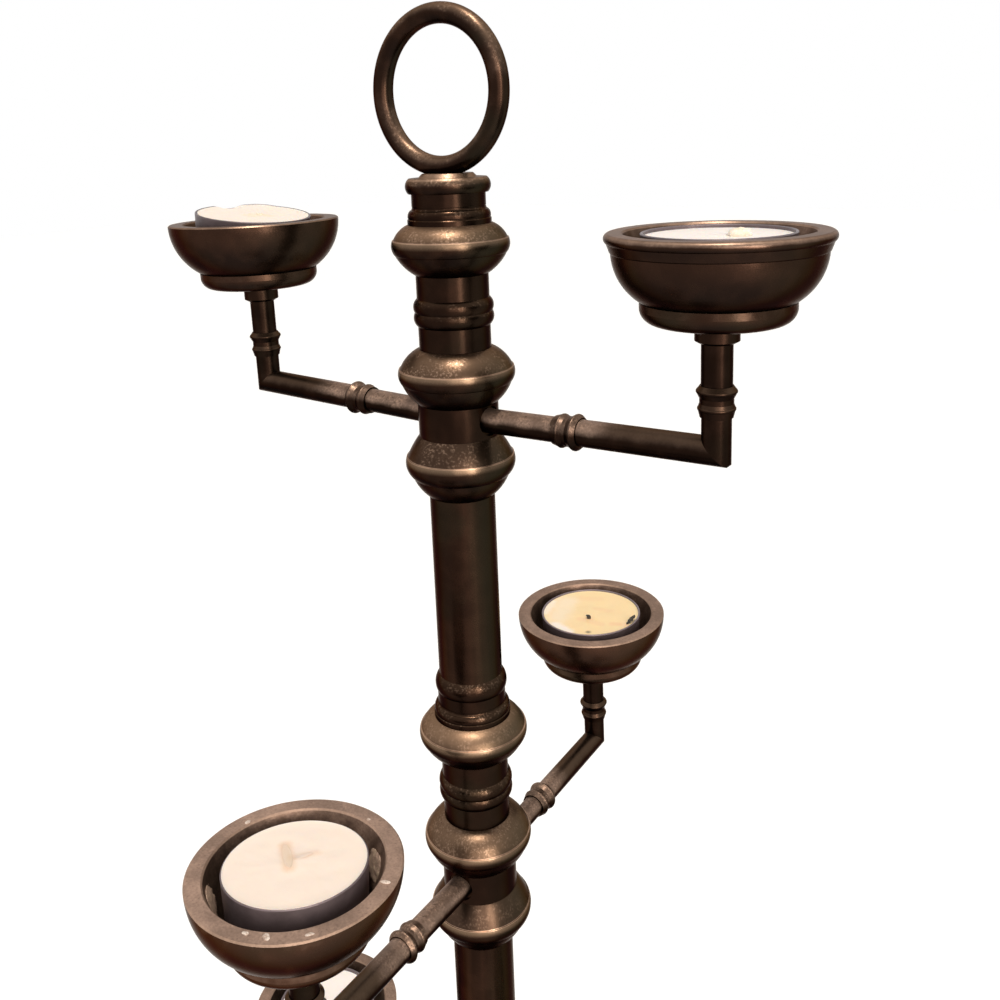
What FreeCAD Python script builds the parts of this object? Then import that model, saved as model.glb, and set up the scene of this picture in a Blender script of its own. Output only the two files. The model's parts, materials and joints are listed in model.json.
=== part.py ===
import FreeCAD, Part
import math
import os

# A three-tier tealight candelabra. A column of turned pieces is clamped on a tie rod between
# the ring finial and a nut under the base. A hub in each tier carries two arms with a cup each.
# Sizes are in millimetres. The origin is on the floor under the column, and Z points up.
# The arms of the top and bottom tiers lie along X, and those of the middle tier nearly along Y.

# Fits
fit_gap = 0.05
thread_gap = 0.05
slip_gap = 0.3
overrun = 2.0

# Tie rod, its nut and washer face
rod_radius = 4.0
rod_bore_radius = 4.3
rod_end_chamfer = 0.8
nut_across_flats = 13.0
nut_height = 6.5
nut_flange_radius = 10.0
nut_flange_height = 1.6
rod_tail = 2.0

# Poles
pole_radius = 10.0
pole_wall = 1.5
pole_length = 59.5
tube_bore_radius = pole_radius - pole_wall
spigot_radius = tube_bore_radius - fit_gap
spigot_length = 4.0
register_depth = spigot_length + slip_gap

# Sleeve between the two upper collars, with its double bead
sleeve_radius = 10.7
sleeve_length = 21.9
sleeve_bead_radius = 11.85
sleeve_bead_height = 4.1
sleeve_bead_valley_radius = 11.45
sleeve_bead_drop = 6.9

# Neck ring with an upper bead, a waist and a lower bead
neck_waist_radius = 10.75
neck_waist_height = 4.8
neck_upper_bead_radius = 11.35
neck_upper_bead_height = 5.7
neck_lower_bead_radius = 12.0
neck_lower_bead_height = 2.6
neck_foot_radius = 12.2
neck_foot_height = 1.4
neck_foot_groove = 0.25

# Collars. Heights count from the ridge, the top edge of the rolled lip
collar_ridge_step = 0.3
collar_under_step = 0.25
upper_collar_top_radius = 12.3
upper_collar_dome_height = 4.3
upper_collar_lip_radius = 17.3
upper_collar_lip_height = 4.1
upper_collar_bowl_height = 6.2
lower_collar_top_radius = 10.9
lower_collar_dome_height = 5.85
lower_collar_lip_radius = 17.5
lower_collar_lip_height = 4.2
lower_collar_bowl_height = 6.35
support_collar_dome_height = 6.45
support_collar_lip_radius = 16.65
support_collar_lip_height = 6.0
support_collar_bowl_height = 6.55
support_collar_under_radius = 14.95
lip_edge_drop = 0.35
lip_under_drop = 0.75
dome_radius_share = 0.6
dome_height_share = 0.6
support_dome_radius_share = 0.54
support_dome_height_share = 0.53
lip_bulge_share = 0.42
bowl_radius_share = 0.64
bowl_height_share = 0.5

# Hub that turns on the bearing spigot of the lower collar
hub_radius = 12.1
hub_height = 10.0
hub_play = 0.05
bearing_radius = 7.5
bearing_gap = 0.05
arm_seat_radius = 4.5
arm_seat_depth = 1.1

# Arms. They rise a little from the hub, and the stems and cups lean in with them. The rod is a
# little thicker beyond its ring, and so is the stem above its own
arm_rise = 1.3
arm_reach = 83.3
inner_rod_radius = 3.7
outer_rod_radius = 3.85
stem_top_radius = 4.0
arm_ring_place = 39.2
stem_ring_height = 13.3
stem_height = 31.8
elbow_rounding = 1.1
tenon_radius = 3.0
tenon_end_gap = 0.3

# Double ring slipped over the rod and over the stem, its higher ridge on the outer side
ring_height = 8.2
ring_high_crest_radius = 5.25
ring_low_crest_radius = 4.9
ring_band_radius = 4.35
ring_edge_radius = 4.25
ring_crest_width = 0.9
ring_crest_rounding = 0.2
ring_low_crest_share = 0.27
ring_band_bottom_share = 0.44
ring_band_top_share = 0.6
ring_high_crest_share = 0.82

# Socket under each cup, with the stem's end inside it
socket_radius = 5.65
socket_height = 5.2
socket_web = 1.6
socket_chamfer_height = 0.7
socket_foot_radius = 4.4

# Cup screw
screw_radius = 2.0
screw_clearance = 0.15
screw_head_radius = 3.6
screw_head_height = 2.2
screw_grip = 7.0
screw_slot_width = 1.0
screw_slot_depth = 1.1

# Cups. One has a rolled rim with a band under it, and the others end in a plain edge
rolled_rim_cup = "1_right"
cup_radius = 27.95
rolled_cup_height = 22.7
plain_cup_height = 21.9
cup_edge_height = 0.4
cup_depth = 14.7
cup_floor_radius = 18.5
cup_mouth_radius = 23.15
cup_mouth_chamfer = 0.45
cup_rim_edge_radius = 26.9
cup_rim_roll_height = 2.5
cup_rim_under_radius = 27.3
cup_band_radius = 26.5
cup_band_height = 18.0
cup_band_step = 0.25
cup_bowl_foot_radius = 19.7
cup_bowl_foot_height = 5.9
cup_foot_groove = 0.45
cup_foot_radius = 19.3
cup_foot_side_height = 3.6
cup_foot_face_radius = 15.3
rolled_bowl_radius_share = 0.733
plain_bowl_radius_share = 0.758
cup_bowl_height_share = 0.46
cup_foot_radius_share = 0.68
cup_foot_height_share = 0.3
cup_screw_seat_depth = 2.5

# Tealights. The one in the left cup of the top tier sits askew, one edge up on the cup's wall
tin_top_radius = 18.9
tin_bottom_radius = 18.2
tin_height = 14.5
tin_wall = 0.35
tin_rim_width = 0.7
tin_rim_height = 0.6
wax_gap = 0.02
wax_drop = 0.8
wick_radius = 0.8
wick_height = 2.0
wick_depth = 9.0
askew_angle = 9.3
askew_turn = 22.0
askew_gap = 0.1

# Ring finial and its cap. The ring is brazed on a little off the column's axis
cap_radius = 12.35
cap_height = 4.3
cap_edge_radius = 11.3
cap_under_radius = 11.6
cap_pad_radius = 8.6
cap_pad_height = 1.2
cap_top_thickness = 1.0
finial_ring_radius = 20.95
finial_wire_radius = 2.95
finial_ring_offset = 1.7
finial_sink = 1.0

# Base, with its felt pad
base_radius = 75.0
base_top_radius = 16.2
base_height = 45.0
base_rim_height = 5.0
base_rim_rounding = 2.0
base_step_width = 6.0
base_step_height = 3.0
base_shoulder_radius = 34.0
base_shoulder_height = 21.0
base_bowl_height = 30.4
base_rim_width = 13.0
base_recess_depth = 5.5
base_well_radius = 30.0
base_well_depth = 15.0
felt_inset = 5.0
felt_thickness = 2.0

# Turn of each tier about the column, from the top tier down, and how far each stem leans out
# from square to its rod
tier_turns = (0.0, 93.4, 0.0)
tier_side_names = (("right", "left"), ("back", "front"), ("right", "left"))
stem_leans = ((1.3, 2.0), (0.0, 0.0), (0.0, 0.0))
full_turn = 360.0
half_turn = 180.0
quarter_turn = 90.0
half_right_angle = 45.0
hexagon_sides = 6
quarter_arc_share = 1 - math.cos(math.radians(half_right_angle))

# Heights of the pieces as they stack
upper_collar_height = upper_collar_dome_height + upper_collar_lip_height + upper_collar_bowl_height
lower_collar_height = lower_collar_dome_height + lower_collar_lip_height + lower_collar_bowl_height
support_collar_height = (support_collar_dome_height + support_collar_lip_height
                         + support_collar_bowl_height)
neck_lower_height = neck_waist_height + neck_lower_bead_height + neck_foot_height
hub_space = hub_height + hub_play + hub_play

up = FreeCAD.Vector(0, 0, 1)
along = FreeCAD.Vector(1, 0, 0)
across = FreeCAD.Vector(0, 1, 0)
origin = FreeCAD.Vector(0, 0, 0)


class Outline:
    """Half section in the XZ plane: radius along X, height along Z."""

    def __init__(self, radius, height):
        self.start = FreeCAD.Vector(radius, 0, height)
        self.end = self.start
        self.edges = []

    def line(self, radius, height):
        point = FreeCAD.Vector(radius, 0, height)
        self.edges.append(Part.LineSegment(self.end, point).toShape())
        self.end = point
        return self

    def arc(self, middle, radius, height):
        point = FreeCAD.Vector(radius, 0, height)
        through = FreeCAD.Vector(middle[0], 0, middle[1])
        self.edges.append(Part.Arc(self.end, through, point).toShape())
        self.end = point
        return self

    def turned(self):
        if (self.end - self.start).Length > 0:
            self.line(self.start.x, self.start.z)
        face = Part.Face(Part.Wire(self.edges))
        return face.revolve(origin, up, full_turn)


def between(start, end, share):
    return start + (end - start) * share


def cylinder(radius, bottom, top, axis=up, place=origin):
    return Part.makeCylinder(radius, top - bottom, place + axis * bottom, axis)


def raised(shape, height):
    return shape.translated(up * height)


def spun(shape, angle):
    return shape.rotated(origin, up, angle)


def risen(shape):
    """Tilt what belongs to an arm up by the arm's rise."""
    return shape.rotated(origin, across, -arm_rise)


def leaned(shape, lean):
    """Tilt what stands on an arm's elbow outwards by the lean of its stem."""
    return shape.rotated(along * arm_reach, across, lean)


def save(name, shape):
    """Write one sub-part and report its solids and volume."""
    solids = shape.Solids
    if not shape.isValid() or not solids:
        raise ValueError("the shape of " + name + " is not sound")
    kept = solids[0] if len(solids) == 1 else Part.makeCompound(solids)
    kept.exportStep(os.path.join("parts", name + ".step"))
    volume = sum(solid.Volume for solid in solids)
    print(name, len(solids), "solid(s),", round(volume, 1), "cubic mm")


def collar(top_radius, dome_height, lip_radius, lip_height, under_radius, bowl_height,
           bottom_radius, dome_shares):
    """Solid of a collar with its ridge at height zero."""
    ridge_radius = lip_radius - lip_edge_drop
    dome_edge = ridge_radius - collar_ridge_step
    bowl_edge = under_radius - collar_under_step
    bowl_top = -lip_height - collar_under_step
    bowl_bottom = -lip_height - bowl_height
    dome_middle = (between(top_radius, dome_edge, dome_shares[0]), dome_height * dome_shares[1])
    lip_middle = (lip_radius, -lip_height * lip_bulge_share)
    bowl_middle = (between(bottom_radius, bowl_edge, bowl_radius_share),
                   between(bowl_top, bowl_bottom, bowl_height_share))
    outline = Outline(0, dome_height)
    outline.line(top_radius, dome_height).arc(dome_middle, dome_edge, 0)
    outline.line(ridge_radius, 0).arc(lip_middle, under_radius, -lip_height)
    outline.line(bowl_edge, bowl_top).arc(bowl_middle, bottom_radius, bowl_bottom)
    outline.line(0, bowl_bottom)
    return outline.turned()


def bored(shape, bottom, top):
    """Cut the tie rod's hole through a piece of the column."""
    return shape.cut(cylinder(rod_bore_radius, bottom - overrun, top + overrun))


def upper_collar():
    bottom = -upper_collar_lip_height - upper_collar_bowl_height
    shape = collar(upper_collar_top_radius, upper_collar_dome_height, upper_collar_lip_radius,
                   upper_collar_lip_height, upper_collar_lip_radius - lip_under_drop,
                   upper_collar_bowl_height, sleeve_radius,
                   (dome_radius_share, dome_height_share))
    spigots = cylinder(spigot_radius, bottom - spigot_length,
                       upper_collar_dome_height + spigot_length)
    return bored(shape.fuse(spigots), bottom - spigot_length,
                 upper_collar_dome_height + spigot_length).removeSplitter()


def lower_collar():
    bottom = -lower_collar_lip_height - lower_collar_bowl_height
    shape = collar(lower_collar_top_radius, lower_collar_dome_height, lower_collar_lip_radius,
                   lower_collar_lip_height, lower_collar_lip_radius - lip_under_drop,
                   lower_collar_bowl_height, hub_radius,
                   (dome_radius_share, dome_height_share))
    spigot = cylinder(spigot_radius, 0, lower_collar_dome_height + spigot_length)
    bearing = cylinder(bearing_radius, bottom - hub_space, 0)
    shape = shape.fuse([spigot, bearing])
    return bored(shape, bottom - hub_space,
                 lower_collar_dome_height + spigot_length).removeSplitter()


def support_collar():
    bottom = -support_collar_lip_height - support_collar_bowl_height
    shape = collar(hub_radius, support_collar_dome_height, support_collar_lip_radius,
                   support_collar_lip_height, support_collar_under_radius,
                   support_collar_bowl_height, pole_radius,
                   (support_dome_radius_share, support_dome_height_share))
    spigot = cylinder(spigot_radius, bottom - spigot_length, 0)
    return bored(shape.fuse(spigot), bottom - spigot_length,
                 support_collar_dome_height).removeSplitter()


def pole():
    return cylinder(pole_radius, 0, pole_length).cut(
        cylinder(tube_bore_radius, -overrun, pole_length + overrun))


def sleeve():
    """Tube with a double bead, its bottom at height zero."""
    bead_top = sleeve_length - sleeve_bead_drop
    valley = bead_top - sleeve_bead_height
    bead_bottom = valley - sleeve_bead_height
    half_bead = sleeve_bead_height / 2
    outline = Outline(tube_bore_radius, 0)
    outline.line(sleeve_radius, 0).line(sleeve_radius, bead_bottom)
    outline.arc((sleeve_bead_radius, bead_bottom + half_bead), sleeve_bead_valley_radius, valley)
    outline.arc((sleeve_bead_radius, valley + half_bead), sleeve_radius, bead_top)
    outline.line(sleeve_radius, sleeve_length).line(tube_bore_radius, sleeve_length)
    return outline.turned()


def neck_ring(with_upper_bead):
    """Neck piece on top of an upper collar. The one under the finial's cap is a plain tube."""
    foot_top = neck_foot_height
    bead_bottom = foot_top + neck_foot_groove
    bead_top = foot_top + neck_lower_bead_height
    waist_top = neck_lower_height
    waist_inset = neck_upper_bead_radius - neck_waist_radius
    outline = Outline(0, 0)
    outline.line(neck_foot_radius, 0).line(neck_foot_radius, foot_top)
    outline.line(neck_foot_radius - neck_foot_groove, bead_bottom)
    outline.arc((neck_lower_bead_radius, (bead_bottom + bead_top) / 2),
                neck_upper_bead_radius, bead_top)
    outline.arc((neck_waist_radius, bead_top + waist_inset), neck_waist_radius,
                bead_top + waist_inset + waist_inset)
    top = waist_top
    if with_upper_bead:
        top = waist_top + neck_upper_bead_height
        bead_middle = (neck_upper_bead_radius, (waist_top + top) / 2)
        outline.line(neck_waist_radius, waist_top).arc(bead_middle, pole_radius, top)
    else:
        outline.line(neck_waist_radius, top)
    outline.line(0, top)
    shape = outline.turned()
    if not with_upper_bead:
        return shape.cut(cylinder(tube_bore_radius, -overrun, top + overrun))
    highest = top + spigot_length
    shape = shape.fuse(cylinder(spigot_radius, top - spigot_length, highest))
    shape = bored(shape, 0, highest)
    return shape.cut(cylinder(tube_bore_radius, -overrun, register_depth)).removeSplitter()


def hub():
    """Turning hub with a seat and a threaded hole for an arm on each side."""
    shape = cylinder(hub_radius, -hub_height / 2, hub_height / 2)
    shape = shape.cut(cylinder(bearing_radius + bearing_gap, -hub_height, hub_height))
    seat = cylinder(arm_seat_radius, hub_radius - arm_seat_depth, hub_radius + overrun, along)
    hole = cylinder(tenon_radius + thread_gap, bearing_radius - overrun, hub_radius + overrun,
                    along)
    arm_hole = risen(seat.fuse(hole))
    return shape.cut(arm_hole).cut(spun(arm_hole, half_turn))


def mitre_side(radius, side, slope):
    """Block on one side of the mitre plane, which slopes through the elbow."""
    reach = full_width(full_width(radius))
    block = Part.makeBox(reach, reach, reach, FreeCAD.Vector(0, -reach / 2, -reach / 2))
    block.rotate(origin, across, -slope if side > 0 else half_turn - slope)
    return block.translated(along * arm_reach)


def elbow(lean):
    """Mitred corner of rod and stem, with its outer edge rounded off."""
    radius = outer_rod_radius
    slope = half_right_angle - lean / 2
    rod_end = cylinder(radius, arm_reach - radius, arm_reach + radius, along)
    stem_foot = leaned(cylinder(radius, -radius, radius, up, along * arm_reach), lean)
    shape = rod_end.cut(mitre_side(radius, 1, slope))
    shape = shape.fuse(stem_foot.cut(mitre_side(radius, -1, slope)))
    inset = radius - elbow_rounding
    edge = FreeCAD.Vector(arm_reach + inset * math.tan(math.radians(slope)), -radius, -inset)
    block = Part.makeBox(radius, full_width(radius), radius, edge - up * radius)
    if lean > 0:
        block = block.common(block.rotated(edge, across, lean))
    return shape.cut(block.cut(Part.makeCylinder(elbow_rounding, full_width(radius), edge, across)))


def arm(lean):
    """Rod from the hub, with a tenon at its root and a stem brazed on its end."""
    root = hub_radius - arm_seat_depth
    tenon_start = bearing_radius + bearing_gap + tenon_end_gap
    corner = along * arm_reach
    tenon = cylinder(tenon_radius, tenon_start, root, along)
    inner_rod = cylinder(inner_rod_radius, root, arm_ring_place, along)
    outer_rod = cylinder(outer_rod_radius, arm_ring_place, arm_reach - outer_rod_radius, along)
    lower_stem = cylinder(outer_rod_radius, outer_rod_radius, stem_ring_height, up, corner)
    upper_stem = cylinder(stem_top_radius, stem_ring_height, stem_height, up, corner)
    stem = leaned(lower_stem.fuse(upper_stem), lean)
    shape = tenon.fuse([inner_rod, outer_rod, elbow(lean), stem])
    tapped_depth = screw_grip + slip_gap
    tapped = cylinder(screw_radius + thread_gap, stem_height - tapped_depth,
                      stem_height + overrun, up, corner)
    return shape.cut(leaned(tapped, lean)).removeSplitter()


def crest(outline, radius, height):
    """Add a rounded crest of a ring to its outline."""
    half = ring_crest_width / 2
    outline.line(radius - ring_crest_rounding, height - half)
    outline.arc((radius, height), radius - ring_crest_rounding, height + half)


def double_ring(lower_bore, upper_bore):
    """Ring with two crests and a band between them, its middle at height zero."""
    bottom = -ring_height / 2
    outline = Outline(lower_bore, bottom)
    outline.line(ring_edge_radius, bottom)
    crest(outline, ring_low_crest_radius, bottom + ring_height * ring_low_crest_share)
    outline.line(ring_band_radius, bottom + ring_height * ring_band_bottom_share)
    outline.line(ring_band_radius, bottom + ring_height * ring_band_top_share)
    crest(outline, ring_high_crest_radius, bottom + ring_height * ring_high_crest_share)
    outline.line(ring_edge_radius, -bottom).line(upper_bore, -bottom)
    outline.line(upper_bore, 0).line(lower_bore, 0)
    return outline.turned()


def arm_ring_pair(lean):
    """The ring on the rod and the ring on the stem of one arm."""
    rod_ring = double_ring(inner_rod_radius + fit_gap, outer_rod_radius + fit_gap)
    stem_ring = double_ring(outer_rod_radius + fit_gap, stem_top_radius + fit_gap)
    rod_ring.rotate(origin, across, quarter_turn)
    rod_ring.translate(along * arm_ring_place)
    stem_ring.translate(along * arm_reach + up * stem_ring_height)
    return [rod_ring, leaned(stem_ring, lean)]


def socket():
    """Ferrule between stem and cup, its top at height zero."""
    bore = stem_top_radius + fit_gap
    hole = screw_radius + screw_clearance
    outline = Outline(hole, 0)
    outline.line(socket_radius, 0).line(socket_radius, socket_chamfer_height - socket_height)
    outline.line(socket_foot_radius, -socket_height).line(bore, -socket_height)
    outline.line(bore, -socket_web).line(hole, -socket_web)
    return outline.turned()


def bowl_arc(outline, edge_radius, edge_height, radius_share):
    """Carry a cup's outline up the outside of its bowl."""
    middle = (between(cup_bowl_foot_radius, edge_radius, radius_share),
              between(cup_bowl_foot_height, edge_height, cup_bowl_height_share))
    outline.arc(middle, edge_radius, edge_height)


def cup(rolled_rim, cup_height):
    """Cup with a bowl and a stepped foot, its bottom at height zero."""
    foot_top = cup_bowl_foot_height - cup_foot_groove
    foot_middle = (between(cup_foot_face_radius, cup_foot_radius, cup_foot_radius_share),
                   cup_foot_side_height * cup_foot_height_share)
    screw_hole = screw_radius + screw_clearance
    screw_seat = screw_head_radius + slip_gap
    cup_floor = cup_height - cup_depth
    seat_floor = cup_floor - cup_screw_seat_depth
    outline = Outline(screw_hole, 0)
    outline.line(cup_foot_face_radius, 0)
    outline.arc(foot_middle, cup_foot_radius, cup_foot_side_height)
    outline.line(cup_foot_radius, foot_top)
    outline.line(cup_foot_radius - cup_foot_groove, foot_top)
    outline.line(cup_bowl_foot_radius - cup_foot_groove, cup_bowl_foot_height)
    outline.line(cup_bowl_foot_radius, cup_bowl_foot_height)
    if rolled_rim:
        rim_under = cup_height - cup_rim_roll_height
        bowl_arc(outline, cup_band_radius - cup_band_step, cup_band_height - cup_band_step,
                 rolled_bowl_radius_share)
        outline.line(cup_band_radius, cup_band_height).line(cup_rim_under_radius, rim_under)
        outline.arc((cup_radius, (rim_under + cup_height) / 2), cup_rim_edge_radius, cup_height)
    else:
        bowl_arc(outline, cup_radius, cup_height - cup_edge_height, plain_bowl_radius_share)
        outline.line(cup_radius - cup_edge_height, cup_height)
    outline.line(cup_mouth_radius + cup_mouth_chamfer, cup_height)
    outline.line(cup_mouth_radius, cup_height - cup_mouth_chamfer)
    outline.line(cup_floor_radius, cup_floor)
    outline.line(screw_seat, cup_floor).line(screw_seat, seat_floor)
    outline.line(screw_hole, seat_floor)
    return outline.turned()


def cup_screw(seat_floor):
    """Slotted pan screw, the underside of its head at height zero."""
    head = cylinder(screw_head_radius, 0, screw_head_height)
    length = seat_floor + socket_web + screw_grip
    slot = Part.makeBox(full_width(screw_head_radius), screw_slot_width, screw_head_height,
                        FreeCAD.Vector(-screw_head_radius, -screw_slot_width / 2,
                                       screw_head_height - screw_slot_depth))
    return head.cut(slot).fuse(cylinder(screw_radius, -length, 0)).removeSplitter()


def full_width(radius):
    return radius + radius


def tin_inner_radius(height):
    """Radius of the tin's inner wall at a height above its bottom."""
    share = (height - tin_wall) / (tin_height - tin_rim_height - tin_wall)
    return between(tin_bottom_radius - tin_wall, tin_top_radius - tin_rim_width, share)


def tin():
    """Tealight tin with a folded rim, its bottom at height zero."""
    rim_foot = tin_height - tin_rim_height
    outline = Outline(0, 0)
    outline.line(tin_bottom_radius, 0).line(tin_top_radius, rim_foot)
    outline.arc((tin_top_radius - tin_rim_width / 2, tin_height),
                tin_inner_radius(rim_foot), rim_foot)
    outline.line(tin_inner_radius(tin_wall), tin_wall).line(0, tin_wall)
    return outline.turned()


def candle():
    """Wax that fills the tin, with its wick set in it."""
    bottom = tin_wall + wax_gap
    top = tin_height - tin_rim_height - wax_drop
    body = Part.makeCone(tin_inner_radius(bottom) - wax_gap, tin_inner_radius(top) - wax_gap,
                         top - bottom, up * bottom)
    hole = cylinder(wick_radius, top - wick_depth, top + overrun)
    wick = cylinder(wick_radius, top - wick_depth, top + wick_height)
    return [body.cut(hole), wick]


def tilted(shapes):
    """Set a tealight askew, one edge of its foot on the floor and the other up on the wall."""
    sine = math.sin(math.radians(askew_angle))
    cosine = math.cos(math.radians(askew_angle))
    foot_width = full_width(tin_bottom_radius)
    wall_slope = (cup_mouth_radius - cup_floor_radius) / cup_depth
    wall_radius = cup_floor_radius + foot_width * sine * wall_slope
    shift = wall_radius + tin_bottom_radius - foot_width * cosine - askew_gap
    pivot = -along * tin_bottom_radius
    move = along * shift + up * askew_gap
    return [shape.rotated(pivot, across, -askew_angle).translated(move)
            .rotated(origin, up, askew_turn) for shape in shapes]


def finial_cap():
    """Capping disc that is screwed on the tie rod, its underside at height zero."""
    top = cap_height + cap_pad_height
    outline = Outline(0, -spigot_length)
    outline.line(spigot_radius, -spigot_length).line(spigot_radius, 0)
    outline.line(cap_under_radius, 0)
    outline.arc((cap_radius, cap_height / 2), cap_edge_radius, cap_height)
    outline.line(cap_pad_radius, cap_height)
    outline.line(cap_pad_radius - cap_pad_height, top).line(0, top)
    tapped = cylinder(rod_radius + thread_gap, -spigot_length - overrun, top - cap_top_thickness)
    return outline.turned().cut(tapped).cut(finial_ring(top - finial_sink))


def finial_ring(bottom):
    """Upright ring in the XZ plane, its lowest point at the given height."""
    centre = up * (bottom + finial_ring_radius + finial_wire_radius) - along * finial_ring_offset
    return Part.makeTorus(finial_ring_radius, finial_wire_radius, centre, across)


def base():
    """Turned foot with an ogee, ending in the neck that carries the lowest pole."""
    rim_bottom = felt_thickness
    rim_top = rim_bottom + base_rim_height
    step_radius = base_radius - base_step_width
    step_top = rim_top + base_step_height
    top = felt_thickness + base_height
    bowl_top = felt_thickness + base_bowl_height
    neck_top = top - neck_upper_bead_height
    lower_middle = ((step_radius + base_shoulder_radius) / 2,
                    between(step_top, base_shoulder_height, dome_height_share) - base_step_height)
    upper_middle = (between(base_top_radius, base_shoulder_radius, bowl_height_share),
                    between(base_shoulder_height, bowl_top, dome_height_share))
    rim_inset = base_rim_rounding * quarter_arc_share
    rim_middle = (base_radius - rim_inset, rim_top - rim_inset)
    outline = Outline(0, rim_bottom)
    outline.line(base_radius, rim_bottom).line(base_radius, rim_top - base_rim_rounding)
    outline.arc(rim_middle, base_radius - base_rim_rounding, rim_top)
    outline.line(step_radius, rim_top).line(step_radius, step_top)
    outline.arc(lower_middle, base_shoulder_radius, base_shoulder_height)
    outline.arc(upper_middle, base_top_radius, bowl_top)
    outline.line(neck_lower_bead_radius, bowl_top)
    outline.arc((neck_lower_bead_radius + neck_foot_groove,
                 bowl_top + neck_lower_bead_height / 2),
                neck_waist_radius, bowl_top + neck_lower_bead_height)
    outline.line(neck_waist_radius, neck_top)
    outline.arc((neck_upper_bead_radius, (neck_top + top) / 2), pole_radius, top)
    outline.line(0, top)
    recess = cylinder(base_radius - base_rim_width, 0, felt_thickness + base_recess_depth)
    well = cylinder(base_well_radius, 0, felt_thickness + base_well_depth)
    spigot = cylinder(spigot_radius, top - spigot_length, top + spigot_length)
    shape = outline.turned().cut(recess).cut(well).fuse(spigot)
    return bored(shape, 0, top + spigot_length).removeSplitter()


def base_nut(face_height):
    """Flanged hexagon nut under the boss of the base."""
    corner = along * (nut_across_flats / 2 / math.cos(math.pi / hexagon_sides))
    hexagon = [spun(Part.Vertex(corner), full_turn * side / hexagon_sides).Point
               for side in range(hexagon_sides + 1)]
    body = Part.Face(Part.makePolygon(hexagon)).extrude(up * (nut_height - nut_flange_height))
    body.translate(up * (face_height - nut_height))
    flange = cylinder(nut_flange_radius, face_height - nut_flange_height, face_height)
    hole = cylinder(rod_radius + thread_gap, face_height - nut_height - overrun,
                    face_height + overrun)
    return body.fuse(flange).cut(hole).removeSplitter()


def tie_rod(bottom, top):
    rod = cylinder(rod_radius, bottom, top)
    ends = [edge for edge in rod.Edges if edge.BoundBox.ZLength < rod_end_chamfer]
    return rod.makeChamfer(rod_end_chamfer, ends)


def save_tier(tier, hub_middle):
    """Hub, arms, rings, sockets, cups, screws and tealights of one tier."""
    number = str(tier + 1)
    turn = tier_turns[tier]
    save("hub_" + number, raised(spun(hub(), turn), hub_middle))
    rings = []
    sockets = []
    screws = []
    cup_bottom = stem_height + socket_web
    for side, side_name in enumerate(tier_side_names[tier]):
        angle = turn + half_turn * side
        lean = stem_leans[tier][side]
        name = number + "_" + side_name
        rolled_rim = name == rolled_rim_cup
        cup_height = rolled_cup_height if rolled_rim else plain_cup_height
        cup_floor = cup_height - cup_depth
        seat_floor = cup_floor - cup_screw_seat_depth

        def placed(shape):
            return raised(spun(risen(shape), angle), hub_middle)

        def over_stem(shape, height):
            return placed(leaned(shape.translated(along * arm_reach + up * height), lean))

        save("arm_" + name, placed(arm(lean)))
        rings += [placed(ring) for ring in arm_ring_pair(lean)]
        sockets.append(over_stem(socket(), cup_bottom))
        screws.append(over_stem(cup_screw(seat_floor), cup_bottom + seat_floor))
        save("cup_" + name, over_stem(cup(rolled_rim, cup_height), cup_bottom))
        tealight = [tin()] + candle()
        if name == "1_left":
            tealight = tilted(tealight)
        tealight = [over_stem(shape, cup_bottom + cup_floor) for shape in tealight]
        save("tealight_tin_" + name, tealight[0])
        save("tealight_candle_" + name, Part.makeCompound(tealight[1:]))
    save("arm_rings_" + number, Part.makeCompound(rings))
    save("cup_sockets_" + number, Part.makeCompound(sockets))
    save("cup_screws_" + number, Part.makeCompound(screws))


def main():
    os.makedirs("parts", exist_ok=True)
    nut_face = felt_thickness + base_well_depth
    save("felt_pad", cylinder(base_radius - felt_inset, 0, felt_thickness))
    save("base", base())
    save("base_nut", base_nut(nut_face))
    height = felt_thickness + base_height
    for tier in reversed(range(len(tier_turns))):
        number = str(tier + 1)
        save("pole_" + number, raised(pole(), height))
        height += pole_length + support_collar_bowl_height + support_collar_lip_height
        save("support_collar_" + number, raised(support_collar(), height))
        height += support_collar_dome_height
        save_tier(tier, height + hub_space / 2)
        height += hub_space + lower_collar_bowl_height + lower_collar_lip_height
        save("lower_collar_" + number, raised(lower_collar(), height))
        height += lower_collar_dome_height
        save("sleeve_" + number, raised(sleeve(), height))
        height += sleeve_length + upper_collar_bowl_height + upper_collar_lip_height
        save("upper_collar_" + number, raised(upper_collar(), height))
        height += upper_collar_dome_height
        save("neck_ring_" + number, raised(neck_ring(tier > 0), height))
        height += neck_lower_height
        if tier > 0:
            height += neck_upper_bead_height
    save("finial_cap", raised(finial_cap(), height))
    cap_top = height + cap_height + cap_pad_height
    save("finial_ring", finial_ring(cap_top - finial_sink))
    rod_bottom = nut_face - nut_height - rod_tail
    save("tie_rod", tie_rod(rod_bottom, cap_top - cap_top_thickness - slip_gap))
    ring_height_over_all = full_width(finial_ring_radius + finial_wire_radius)
    print("height over all", round(cap_top - finial_sink + ring_height_over_all, 2))


main()
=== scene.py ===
import json
import math

import bmesh
import bpy
from mathutils import Matrix, Vector


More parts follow.
